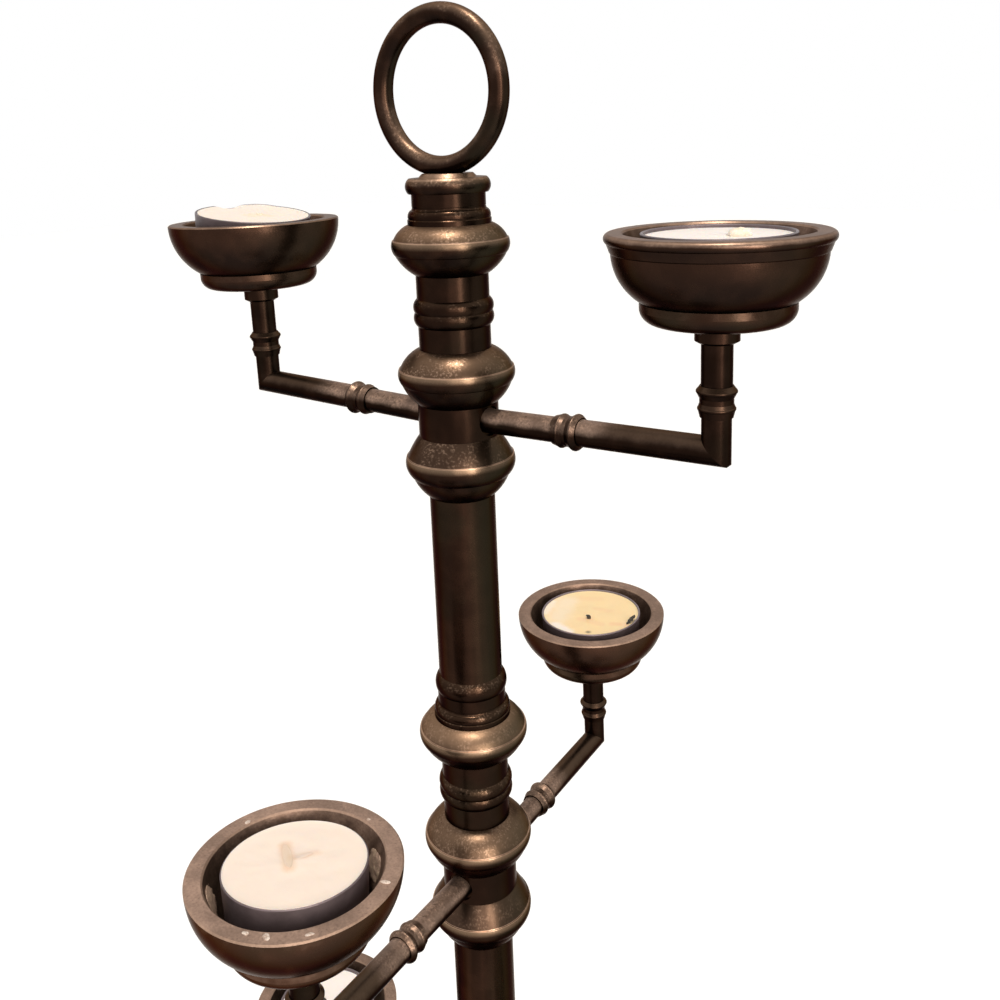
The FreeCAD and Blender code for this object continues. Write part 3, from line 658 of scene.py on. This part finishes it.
class Seat:
    """The highest large flat top of a CAD node: its place, its radius and what lies below it.

    rise lifts the seat over that top, by millimetres.
    """

    def __init__(self, node, rise=0.0):
        mesh = frame["nodes"][node].data
        tops = [top for top in self.flat_tops(mesh)
                if sum(face.area for face in top) > FLAT_AREA]
        top = max(tops, key=lambda faces: faces[0].center.z)
        area = sum(face.area for face in top)
        centre = sum((face.center * face.area for face in top), Vector()) / area
        upward = top[0].normal.copy()
        sideways = (Vector((1, 0, 0)) - upward * upward.x).normalized()
        self.matrix = Matrix((sideways, upward.cross(sideways), upward)).transposed().to_4x4()
        self.matrix.translation = centre + upward * rise * MILLIMETRE
        corners = [mesh.vertices[corner].co for face in top for corner in face.vertices]
        self.radius = max((corner - centre).length for corner in corners)
        self.depth = max((centre - corner.co).dot(upward) for corner in mesh.vertices)
        self.depth += rise * MILLIMETRE

    def tip(self, direction, degrees):
        """Tip the seat up on the side of a direction, about its far edge."""
        turn = Matrix.Rotation(math.radians(direction), 4, "Z")
        edge = Matrix.Translation((-self.radius, 0, 0))
        up = Matrix.Rotation(-math.radians(degrees), 4, "Y")
        self.matrix = self.matrix @ turn @ edge @ up @ edge.inverted() @ turn.inverted()

    def flat_tops(self, mesh):
        """Upward faces of a mesh, gathered where they lie in one plane."""
        tops = []
        upward = [face for face in mesh.polygons if face.normal.z > FLAT_UPRIGHT]
        for face in sorted(upward, key=lambda face: -face.area):
            for top in tops:
                gap = (face.center - top[0].center).dot(top[0].normal)
                if abs(gap) < FLAT_GAP and face.normal.dot(top[0].normal) > FLAT_TURN:
                    top.append(face)
                    break
            else:
                tops.append([face])
        return tops

    def point(self, place):
        """A place on the seat, given in millimetres, as a point of the frame."""
        return self.matrix @ (Vector((*place, 0)) * MILLIMETRE)

    def turned_at(self, place, turn=0.0, rise=0.0):
        """A frame on the seat, turned round its normal."""
        move = Matrix.Translation(Vector((*place, rise)) * MILLIMETRE)
        return self.matrix @ move @ Matrix.Rotation(math.radians(turn), 4, "Z")


def settings():
    return bpy.context.scene.candelabra


def scaled(colour, factor):
    return [channel * factor for channel in colour]


def wax_seat(cup):
    """The top of the wax in a cup."""
    return tealight_seat(cup, WAX_RISES[cup])


def tealight_seat(cup, rise=0.0):
    """The top of a tealight's plain wax solid, tipped where the real tealight is."""
    seat = Seat(CANDLE + cup, rise)
    if cup == TIPPED_CUP:
        seat.tip(TIPPED_DIRECTION, TIPPED_BY)
    return seat


def nodes_named(*starts):
    return [node for node in sorted(frame["nodes"]) if node.startswith(starts)]


def dress(nodes, finish):
    """Assign a finish to every material slot of some CAD nodes."""
    for node in nodes:
        for slot in frame["nodes"][node].material_slots:
            slot.material = finish.material


def start_piece(name, add, **sizes):
    """Add a primitive with nothing else selected, and open it in edit mode, all selected."""
    bpy.ops.object.select_all(action="DESELECT")
    add(**sizes)
    bpy.ops.object.transform_apply(location=True, rotation=True, scale=True)
    piece = bpy.context.object
    piece.name = name
    bpy.ops.object.mode_set(mode="EDIT")
    bpy.ops.mesh.select_all(action="SELECT")
    return piece


def pick(piece, test, kind="faces"):
    """Select the faces, edges or vertices that a test names, and nothing else."""
    bpy.ops.mesh.select_all(action="DESELECT")
    bpy.ops.mesh.select_mode(type={"faces": "FACE", "verts": "VERT"}[kind])
    shape = bmesh.from_edit_mesh(piece.data)
    for element in getattr(shape, kind):
        element.select_set(bool(test(element)))
    shape.select_flush_mode()
    bmesh.update_edit_mesh(piece.data)


def finish_piece(piece, matrix, body, finish):
    """Leave edit mode, set the piece in its place in the frame and hang it on its body."""
    if piece.mode == "EDIT":
        bpy.ops.object.mode_set(mode="OBJECT")
    piece.matrix_world = matrix
    bpy.ops.object.transform_apply(location=True, rotation=True, scale=True)
    bpy.ops.object.shade_smooth_by_angle(angle=math.radians(SMOOTH_ANGLE))
    piece.data.materials.append(finish.material)
    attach(piece, body)
    return piece


def bend_back(piece):
    """Tip the top of a piece of the askew tealight towards level."""
    pick(piece, lambda corner: corner.co.z > ASKEW_BEND_FROM * MILLIMETRE, "verts")
    for axis, degrees in ASKEW_BENDS:
        bpy.ops.transform.rotate(value=math.radians(degrees), orient_axis=axis,
                                 center_override=(0, 0, 0), use_proportional_edit=False)


def dent_edge(piece, height):
    """Push the top edge of a piece of the askew tealight in, and draw what lies round it along."""
    for angle, push, reach in TIN_DENTS:
        turn = math.radians(angle)
        spot = Vector((math.cos(turn), math.sin(turn), 0)) * TIN_TOP_RADIUS * MILLIMETRE
        spot.z = height * MILLIMETRE
        pick(piece, lambda corner: (corner.co - spot).length < DENT_GRIP * MILLIMETRE, "verts")
        bpy.ops.transform.translate(value=[x * MILLIMETRE for x in push],
                                    use_proportional_edit=True,
                                    proportional_edit_falloff="SMOOTH",
                                    proportional_size=reach * MILLIMETRE)


def apply_modifier(piece, kind, **values):
    """Give the active piece a modifier and apply it at once."""
    made = piece.modifiers.new(kind.lower(), kind)
    for name, value in values.items():
        setattr(made, name, value)
    bpy.ops.object.modifier_apply(modifier=made.name)


def roughen(piece, size, height, group=""):
    """Push the surface in and out by a cloudy pattern of the given size."""
    pattern = bpy.data.textures.new(piece.name, "CLOUDS")
    pattern.noise_scale = size * MILLIMETRE
    pattern.noise_depth = 2
    apply_modifier(piece, "DISPLACE", texture=pattern, texture_coords="LOCAL",
                   strength=height * MILLIMETRE, vertex_group=group)


def steel_finish():
    finish = Finish("zinc_plated_steel", {"Metallic": 1.0})
    cloud = finish.noise(STEEL_CLOUD, 3.0, 0.6)
    scratch = finish.noise(STEEL_SCRATCH, 2.0, 0.6, stretch=SCRATCH_STRETCH)
    finish.feed("Base Color", finish.blend(cloud, *STEEL_COLOURS))
    finish.feed("Roughness", 0.3 + cloud * 0.2)
    finish.feed("Normal", finish.bump(scratch, STEEL_RELIEF, 0.6))
    return finish


def felt_finish():
    finish = Finish("dark_felt", {"Roughness": 0.95, "Sheen Weight": 0.4})
    fibre = finish.noise(FELT_FIBRE, 4.0, 0.7)
    cloud = finish.noise(FELT_CLOUD, 3.0, 0.6)
    finish.feed("Base Color", finish.blend(fibre * 0.6 + cloud * 0.4, *FELT_COLOURS))
    finish.feed("Normal", finish.bump(fibre, FELT_RELIEF, 0.8))
    return finish


def tin_finish(name, tone=1.0):
    """Thin pressed aluminium, dulled by soot and wax."""
    finish = Finish(name, {"Metallic": 0.55})
    tin = scaled(settings().tealights.tin, tone)
    cloud = finish.noise(TIN_CLOUD, 3.0, 0.6)
    fine = finish.noise(TIN_GRAIN, 3.0, 0.6)
    pressed = finish.noise(PRESSING_LINE, 2.0, 0.6, stretch=PRESSING_STRETCH)
    finish.feed("Base Color", finish.blend(cloud, scaled(tin, 0.5), scaled(tin, 1.3)))
    finish.feed("Roughness", 0.3 + fine * 0.15 + cloud * 0.12)
    finish.feed("Normal", finish.bump(pressed * 0.6 + fine * 0.4, TIN_RELIEF, 0.6))
    return finish


def wax_finish(name, colour, stains_and_shadow=(), seat=None):
    """Wax with light in it, tinted along the given lines of its seat: stains, and on the back
    tealight a painted shadow.
    """
    tealights = settings().tealights
    finish = Finish(name, {"Subsurface Weight": 0.3, "Subsurface Radius": (1.0, 0.65, 0.4),
                           "Subsurface Scale": WAX_LIGHT_DEPTH, "Specular IOR Level": 0.4})
    broad = finish.noise(WAX_CLOUD, 3.0, 0.55)
    fine = finish.noise(WAX_GRAIN, 3.0, 0.6)
    tint = finish.blend((broad * 0.25 + fine * 0.1).limited(), colour, scaled(colour, 0.86))
    for start, end, width, mark_colour, strength in stains_and_shadow:
        away = finish.away_from(seat.point(start), seat.point(end))
        width = width * MILLIMETRE
        near = finish.step(away + (broad - 0.5) * width * 0.7 + (fine - 0.5) * width * 0.4,
                           width, width * 0.15)
        tint = finish.blend(near * strength, tint, getattr(tealights, mark_colour))
    finish.feed("Base Color", tint)
    finish.feed("Roughness", 0.42 + fine * 0.2)
    finish.feed("Normal", finish.bump(broad * 0.7 + fine * 0.3, WAX_RELIEF, 0.4))
    return finish


def char_finish(name, tip, height):
    """Wick, black at its tip and brown with wax lower down."""
    tealights = settings().tealights
    finish = Finish(name, {})
    fine = finish.noise(CHAR_GRAIN, 3.0, 0.6)
    below = tip.z - finish.part(finish.place(), "Z")
    burnt = finish.step(below + (fine - 0.5) * height * 0.5, height, height * 0.5)
    finish.feed("Base Color", finish.blend(burnt, tealights.tan, tealights.char))
    finish.feed("Roughness", 0.6 + fine * 0.3)
    finish.feed("Normal", finish.bump(fine, CHAR_RELIEF, 0.8))
    return finish


def spilt_wax_finish(name, colour, thin):
    """Scraps of wax that show some of the brass where they lie thin."""
    finish = Finish(name, {"Specular IOR Level": 0.4})
    fine = finish.noise(SPILL_GRAIN, 3.0, 0.6)
    crumple = finish.noise(SPILL_CRUMPLE, 3.0, 0.65)
    bare = finish.step(crumple, *SPILL_BARE_STEP)
    finish.feed("Base Color", finish.blend(bare * thin, colour, settings().brass.dust))
    finish.feed("Roughness", 0.45 + fine * 0.3)
    finish.feed("Normal", finish.bump(fine * 0.5 + crumple, SPILL_RELIEF, 0.8))
    return finish


def rounded_lump(name, size):
    """A lump with a flat foot: half its length, half its width and its height in millimetres."""
    length, width, height = (value * MILLIMETRE for value in size)
    lump = start_piece(name, bpy.ops.mesh.primitive_ico_sphere_add, subdivisions=4, radius=1.0)
    bpy.ops.mesh.bisect(plane_co=(0, 0, LUMP_FOOT), plane_no=(0, 0, 1), clear_inner=True,
                        use_fill=True)
    bpy.ops.mesh.select_all(action="SELECT")
    bpy.ops.transform.resize(value=(length, width, height), center_override=(0, 0, 0))
    bpy.ops.object.mode_set(mode="OBJECT")
    return lump


def on_stage(name, data):
    """An object for the camera or a light, which isn't part of the candelabra."""
    made = bpy.data.objects.new(name, data)
    bpy.context.scene.collection.objects.link(made)
    return made


def aim(thing, place, target):
    """Set a light at a place and turn it towards a target."""
    thing.location = place
    thing.rotation_mode = "QUATERNION"
    thing.rotation_quaternion = (Vector(target) - Vector(place)).to_track_quat("-Z", "Y")


class CANDELABRA_OT_column(bpy.types.Operator):
    """Finish the turned pieces of the column"""
    bl_idname = "candelabra.column"
    bl_label = "Finish the Column"

    def execute(self, context):
        for start, (drop, top_light, speckled) in COLLARS.items():
            for node in nodes_named(start):
                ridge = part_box(node)[1].z - drop * MILLIMETRE
                specks = (TOP_SPECKS if node.endswith("_1") else LOWER_SPECKS) * speckled
                dress([node], AgedBrass(node + "_brass", top_light=top_light, specks=specks, dust=0.06,
                                        ridge=ridge, old=0.9))
        dress(nodes_named("sleeve_", "neck_ring_", "hub_"),
              AgedBrass("neck_brass", top_light=0.12, specks=0.3, rough=0.25, tone=0.75, old=0.4))
        dress(nodes_named("pole_"), AgedBrass("pole_brass", specks=0.2, streaks=0.4, tone=0.95))
        dress(nodes_named("finial_cap"),
              AgedBrass("cap_brass", top_light=0.7, specks=0.9, dust=0.12, worn=0.5))
        dress(nodes_named("finial_ring"),
              AgedBrass("ring_brass", top_light=0.5, specks=0.5, dust=0.15, tone=1.2, old=0.5))
        return {"FINISHED"}


class CANDELABRA_OT_arms(bpy.types.Operator):
    """Finish the arms with their rings and the sockets"""
    bl_idname = "candelabra.arms"
    bl_label = "Finish the Arms"

    def execute(self, context):
        # Painted shadow of the cups: the bloom and specks on the arms and their rings end at the
        # given reach from the column
        dress(nodes_named("arm_"),
              AgedBrass("arm_brass", top_light=0.22, specks=0.8, dust=0.7, cup_shadow_reach=CUP_SHADOW_REACH,
                        rough=0.3, tone=0.6, old=0.4))
        dress(nodes_named("arm_rings_"),
              AgedBrass("arm_ring_brass", top_light=0.22, specks=0.8, dust=0.35,
                        cup_shadow_reach=CUP_SHADOW_REACH, rough=0.3, tone=0.75, old=0.4))
        dress(nodes_named("cup_sockets_"),
              AgedBrass("socket_brass", top_light=0.2, dust=0.05, rough=0.32, tone=0.85, old=0.5))
        return {"FINISHED"}


class CANDELABRA_OT_cups(bpy.types.Operator):
    """Finish the cups and their screws"""
    bl_idname = "candelabra.cups"
    bl_label = "Finish the Cups"

    def execute(self, context):
        for cup in CUPS:
            dust, tone = CUP_FINISHES[cup]
            dress(["cup_" + cup], AgedBrass("cup_brass_" + cup, top_light=0.3, specks=0.2, dust=dust,
                                            worn=0.3, tone=tone, mottle=0.12, old=0.45))
        dress(nodes_named("cup_screws_", "base_nut", "tie_rod"), steel_finish())
        return {"FINISHED"}


class CANDELABRA_OT_base(bpy.types.Operator):
    """Finish the base and its felt pad"""
    bl_idname = "candelabra.base"
    bl_label = "Finish the Base"

    def execute(self, context):
        dress(["base"], AgedBrass("base_brass", top_light=0.22, dust=0.1, worn=0.4, tone=1.3))
        dress(["felt_pad"], felt_finish())
        return {"FINISHED"}


class CANDELABRA_OT_tins(bpy.types.Operator):
    """Finish the tins and model the dented askew one and the tipped one"""
    bl_idname = "candelabra.tins"
    bl_label = "Make the Tins"

    def execute(self, context):
        finish = tin_finish("sooty_tin")
        dress(nodes_named(TIN), finish)
        # The back tealight's tin is a paler copy of the sooty tin: a painted reflection on its wall
        dress([TIN + SCRAP_CUP], tin_finish("pale_tin", 1.3))
        askew = self.pressed("askew_tin")
        dent_edge(askew, TIN_RIM_FOOT)
        bend_back(askew)
        self.seat(askew, ASKEW_CUP, ASKEW_DIRECTION, finish)
        self.seat(self.pressed("tipped_tin"), TIPPED_CUP, 0.0, tin_finish("warm_tin", 1.1))
        return {"FINISHED"}

    def seat(self, tin, cup, turn, finish):
        matrix = tealight_seat(cup).turned_at((0, 0), turn)
        finish_piece(tin, matrix, BODY_OF_NODE[TIN + cup], finish)
        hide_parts(TIN + cup)

    def pressed(self, name):
        """A tin with its rolled rim, its middle where the wax's plain top is."""
        height = TIN_RIM_FOOT - TIN_BOTTOM
        tin = start_piece(name, bpy.ops.mesh.primitive_cylinder_add, vertices=TIN_SIDES,
                          radius=TIN_BOTTOM_RADIUS * MILLIMETRE, depth=height * MILLIMETRE,
                          location=(0, 0, (TIN_RIM_FOOT + TIN_BOTTOM) / 2 * MILLIMETRE))
        pick(tin, lambda face: face.normal.z > FLAT_UPRIGHT)
        bpy.ops.transform.resize(value=[TIN_TOP_RADIUS / TIN_BOTTOM_RADIUS] * 2 + [1])
        bpy.ops.mesh.delete(type="FACE")
        pick(tin, lambda face: abs(face.normal.z) < FLAT_UPRIGHT)
        bpy.ops.mesh.subdivide(number_cuts=TIN_WALL_CUTS)
        bpy.ops.object.mode_set(mode="OBJECT")
        apply_modifier(tin, "SOLIDIFY", thickness=TIN_WALL * MILLIMETRE, offset=-1)
        bpy.ops.mesh.primitive_torus_add(
            major_segments=TIN_SIDES, minor_segments=TIN_BEAD_SIDES,
            major_radius=(TIN_TOP_RADIUS - TIN_BEAD) * MILLIMETRE,
            minor_radius=TIN_BEAD * MILLIMETRE, location=(0, 0, TIN_RIM_FOOT * MILLIMETRE))
        tin.select_set(True)
        bpy.context.view_layer.objects.active = tin
        bpy.ops.object.join()
        bpy.ops.object.mode_set(mode="EDIT")
        return tin


class CANDELABRA_OT_waxes(bpy.types.Operator):
    """Model the burnt-down wax of each tealight"""
    bl_idname = "candelabra.waxes"
    bl_label = "Make the Wax"

    def execute(self, context):
        for cup in CUPS:
            node = CANDLE + cup
            seat = wax_seat(cup)
            brimful = WAX_RISES[cup] > WAX_BRIMFUL
            wax = self.body("wax_" + cup, seat, WAX_SPREAD if brimful else 1.0)
            if cup == ASKEW_CUP:
                dent_edge(wax, 0.0)
                bend_back(wax)
            self.mark_top(wax, seat.radius)
            turn = ASKEW_DIRECTION if cup == ASKEW_CUP else 0.0
            colour = getattr(settings().tealights, WAX_COLOURS[cup])
            finish = wax_finish("wax_finish_" + cup, colour, WAX_STAINS_AND_SHADOW[cup], seat)
            finish_piece(wax, seat.turned_at((0, 0), turn), BODY_OF_NODE[node], finish)
            roughen(wax, *WAX_WAVES, "top")
            wax.vertex_groups.clear()
            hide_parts(node)
        return {"FINISHED"}

    def body(self, name, seat, spread):
        """Wax that fills the tin, higher at the wall, with its top in rings."""
        wax = start_piece(name, bpy.ops.mesh.primitive_cylinder_add, vertices=WAX_SIDES,
                          radius=seat.radius, depth=seat.depth,
                          location=(0, 0, -seat.depth / 2))
        pick(wax, lambda face: face.normal.z < -FLAT_UPRIGHT)
        narrowing = TIN_BOTTOM_RADIUS / TIN_TOP_RADIUS
        bpy.ops.transform.resize(value=(narrowing, narrowing, 1))
        pick(wax, lambda face: face.normal.z > FLAT_UPRIGHT)
        bpy.ops.transform.resize(value=(spread, spread, 1))
        for inset, rise in WAX_RINGS:
            bpy.ops.mesh.inset(thickness=inset * MILLIMETRE, depth=rise * MILLIMETRE)
        bpy.ops.mesh.poke()
        pick(wax, lambda face: face.normal.z > 0.5)
        bpy.ops.mesh.subdivide(number_cuts=1)
        return wax

    def mark_top(self, wax, radius):
        """Mark the top of the wax away from the wall, where it sets unevenly."""
        bpy.ops.object.mode_set(mode="OBJECT")
        top = wax.vertex_groups.new(name="top")
        for corner in wax.data.vertices:
            inside = radius - corner.co.xy.length - WAX_CALM_EDGE * MILLIMETRE
            share = min(inside / (WAX_CALM_FADE * MILLIMETRE), 1.0)
            if share > 0 and corner.co.z > -radius / 2:
                top.add([corner.index], share, "REPLACE")


class CANDELABRA_OT_wicks(bpy.types.Operator):
    """Model the wicks: burnt stubs, some under wax and one drowned, and a burnt scrap"""
    bl_idname = "candelabra.wicks"
    bl_label = "Make the Wicks"

    def execute(self, context):
        tealights = settings().tealights
        for cup, (place, radius, steps) in WICKS.items():
            seat = wax_seat(cup)
            wick = self.grow("wick_" + cup, radius * MILLIMETRE, steps)
            tip = seat.point(place)
            tip.z += sum(rise for _, rise, _ in steps) * MILLIMETRE
            finish_piece(wick, seat.turned_at(place, WICK_TURN), BODY_OF_NODE[CANDLE + cup],
                         char_finish("wick_finish_" + cup, tip, WICK_BLACK * MILLIMETRE))
            roughen(wick, *WICK_FRAY)
        for name, (cup, place, size, turn) in WAX_LUMPS.items():
            seat = wax_seat(cup)
            lump = rounded_lump(name, size)
            colour = getattr(tealights, WAX_COLOURS[cup])
            finish = wax_finish(name + "_wax", colour, WAX_STAINS_AND_SHADOW[cup], seat)
            finish_piece(lump, seat.turned_at(place, turn), BODY_OF_NODE[CANDLE + cup],
                         finish)
            roughen(lump, LUMP_DENT, min(size) * LUMP_DENT_SHARE)
        seat = wax_seat(SCRAP_CUP)
        scrap = rounded_lump("burnt_scrap", SCRAP_SIZE)
        tip = seat.point(SCRAP_PLACE) + Vector((0, 0, SCRAP_SIZE[2] * MILLIMETRE))
        lean = Matrix.Rotation(math.radians(SCRAP_LIFT), 4, "Y")
        finish_piece(scrap, seat.turned_at(SCRAP_PLACE, SCRAP_TURN, SCRAP_RISE) @ lean,
                     BODY_OF_NODE[CANDLE + SCRAP_CUP],
                     char_finish("scrap_char", tip, SCRAP_BLACK * MILLIMETRE))
        roughen(scrap, *SCRAP_DENTS)
        return {"FINISHED"}

    def grow(self, name, radius, steps):
        """A wick from just under the wax: each step draws its end on and changes its width."""
        wick = start_piece(name, bpy.ops.mesh.primitive_cylinder_add, vertices=WICK_SIDES,
                           radius=radius, depth=radius * 2, location=(0, 0, -radius))
        pick(wick, lambda face: face.normal.z > FLAT_UPRIGHT)
        for sideways, rise, width in steps:
            move = (sideways * MILLIMETRE, 0, rise * MILLIMETRE)
            bpy.ops.mesh.extrude_region_move(TRANSFORM_OT_translate={"value": move})
            bpy.ops.transform.resize(value=(width, width, width))
        bpy.ops.object.mode_set(mode="OBJECT")
        apply_modifier(wick, "SUBSURF", levels=2, render_levels=2)
        return wick


class CANDELABRA_OT_spills(bpy.types.Operator):
    """Model the wax spilt on the front cup"""
    bl_idname = "candelabra.spills"
    bl_label = "Make the Spilt Wax"

    def execute(self, context):
        seat = Seat("cup_" + SPILL_CUP)
        body = BODY_OF_NODE["cup_" + SPILL_CUP]
        rosy = settings().tealights.rosy
        pale = spilt_wax_finish("spilt_wax", scaled(rosy, SPILL_TONE), SPILL_THIN)
        film = spilt_wax_finish("wax_film", FILM_COLOUR, FILM_THIN)
        for number, (place, size, turn) in enumerate(RIM_SPILLS, 1):
            spill = rounded_lump("rim_spill_%d" % number, size)
            finish_piece(spill, seat.turned_at(place, turn), body, pale)
            roughen(spill, *SPILL_DENTS)
        for number, (angle, depth, size) in enumerate(WALL_FILMS, 1):
            scrap = rounded_lump("wall_film_%d" % number, size)
            finish_piece(scrap, seat.matrix @ self.on_wall(angle, depth), body, film)
            roughen(scrap, *FILM_DENTS)
        return {"FINISHED"}

    def on_wall(self, angle, depth):
        """Frame on the cup's inner wall, its Z out of the wall and its X up the wall."""
        radius = (CUP_WALL_RADIUS - CUP_WALL_SLOPE * depth) * MILLIMETRE
        lean = math.atan(CUP_WALL_SLOPE)
        round_cup = Matrix.Rotation(math.radians(angle), 4, "Z")
        out = Matrix.Translation((radius, 0, -depth * MILLIMETRE))
        return round_cup @ out @ Matrix.Rotation(lean - math.pi / 2, 4, "Y")


class CANDELABRA_OT_stage(bpy.types.Operator):
    """Set the pale floor, the soft lights and the camera"""
    bl_idname = "candelabra.stage"
    bl_label = "Set the Stage"

    def execute(self, context):
        stage = settings().stage
        scene = context.scene
        self.floor(stage)
        self.surround(scene, stage)
        self.lights(stage)
        lens = bpy.data.cameras.new("camera")
        lens.lens = stage.camera_lens
        lens.shift_y = stage.camera_shift
        lens.clip_start = NEAREST_SEEN
        camera = on_stage("camera", lens)
        camera.location = stage.camera_place
        camera.rotation_euler = stage.camera_turn
        scene.camera = camera
        scene.view_settings.view_transform = "Standard"
        return {"FINISHED"}

    def seen(self, finish):
        """1 for rays that show the background: to the camera, in metal and through glass."""
        path = [finish.node("ShaderNodeLightPath", {}, {}, name)
                for name in ("Is Camera Ray", "Is Glossy Ray", "Is Transmission Ray")]
        return path[0].larger(path[1]).larger(path[2])

    def floor(self, stage):
        """A pale floor, which shows a little brighter than it is lit."""
        bpy.ops.object.select_all(action="DESELECT")
        bpy.ops.mesh.primitive_plane_add(size=stage.floor_size)
        floor = bpy.context.object
        floor.name = "floor"
        finish = Finish("pale_floor", {"Roughness": 0.9, "Specular IOR Level": 0.1})
        soft = finish.noise(FLOOR_CLOUD, 2.0, 0.5)
        finish.feed("Base Color", finish.blend(soft, *FLOOR_COLOURS))
        finish.feed("Emission Color", FLOOR_GLOW_COLOUR)
        finish.feed("Emission Strength", self.seen(finish) * FLOOR_GLOW)
        floor.data.materials.append(finish.material)

    def surround(self, scene, stage):
        """White all round where it is seen, and weaker where it only lights."""
        world = bpy.data.worlds.new("surround")
        scene.world = world
        world.use_nodes = True
        surround = Surround(world)
        seen = self.seen(surround)
        surround.feed("Color", (1.0, 1.0, 1.0))
        surround.feed("Strength", stage.ambient + seen * (1.0 - stage.ambient))

    def lights(self, stage):
        """A light almost straight above and two soft panels on the right."""
        key = bpy.data.lights.new("overhead", "SUN")
        key.energy = stage.key_strength
        key.angle = stage.key_angle
        key.color = KEY_COLOUR
        aim(on_stage("overhead", key), KEY_PLACE, (0, 0, 0))
        self.panel("front", FRONT_SIZE, stage.front_radiance, FRONT_PLACE)
        self.panel("fill", FILL_SIZE, stage.fill_radiance, FILL_PLACE)

    def panel(self, name, size, radiance, place):
        """A soft light of the given width and height, aimed at the upper tiers."""
        light = bpy.data.lights.new(name, "AREA")
        light.shape = "RECTANGLE"
        light.size, light.size_y = size
        light.energy = radiance * size[0] * size[1] * math.pi
        light.color = PANEL_COLOUR
        aim(on_stage(name, light), place, PANEL_TARGET)


class CANDELABRA_PT_panel(bpy.types.Panel):
    """The candelabra's pieces and its stage"""
    bl_idname = "CANDELABRA_PT_panel"
    bl_label = "Candelabra"
    bl_space_type = "VIEW_3D"
    bl_region_type = "UI"
    bl_category = "Candelabra"

    def draw(self, context):
        for group in ("brass", "tealights", "stage"):
            values = getattr(context.scene.candelabra, group)
            box = self.layout.box()
            for name in values.bl_rna.properties.keys():
                if name not in ("rna_type", "name"):
                    box.prop(values, name)
        for step in STEPS:
            self.layout.operator(step.bl_idname)


STEPS = (CANDELABRA_OT_column, CANDELABRA_OT_arms, CANDELABRA_OT_cups, CANDELABRA_OT_base,
         CANDELABRA_OT_tins, CANDELABRA_OT_waxes, CANDELABRA_OT_wicks, CANDELABRA_OT_spills,
         CANDELABRA_OT_stage)
CLASSES = (BrassSettings, TealightSettings, StageSettings, CandelabraSettings, *STEPS,
           CANDELABRA_PT_panel)


def register():
    for each in CLASSES:
        bpy.utils.register_class(each)
    bpy.types.Scene.candelabra = bpy.props.PointerProperty(type=CandelabraSettings)


def unregister():
    del bpy.types.Scene.candelabra
    for each in reversed(CLASSES):
        bpy.utils.unregister_class(each)


def main():
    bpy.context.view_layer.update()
    register()
    for step in STEPS:
        group, name = step.bl_idname.split(".")
        getattr(getattr(bpy.ops, group), name)()


if __name__ == "__main__":
    main()
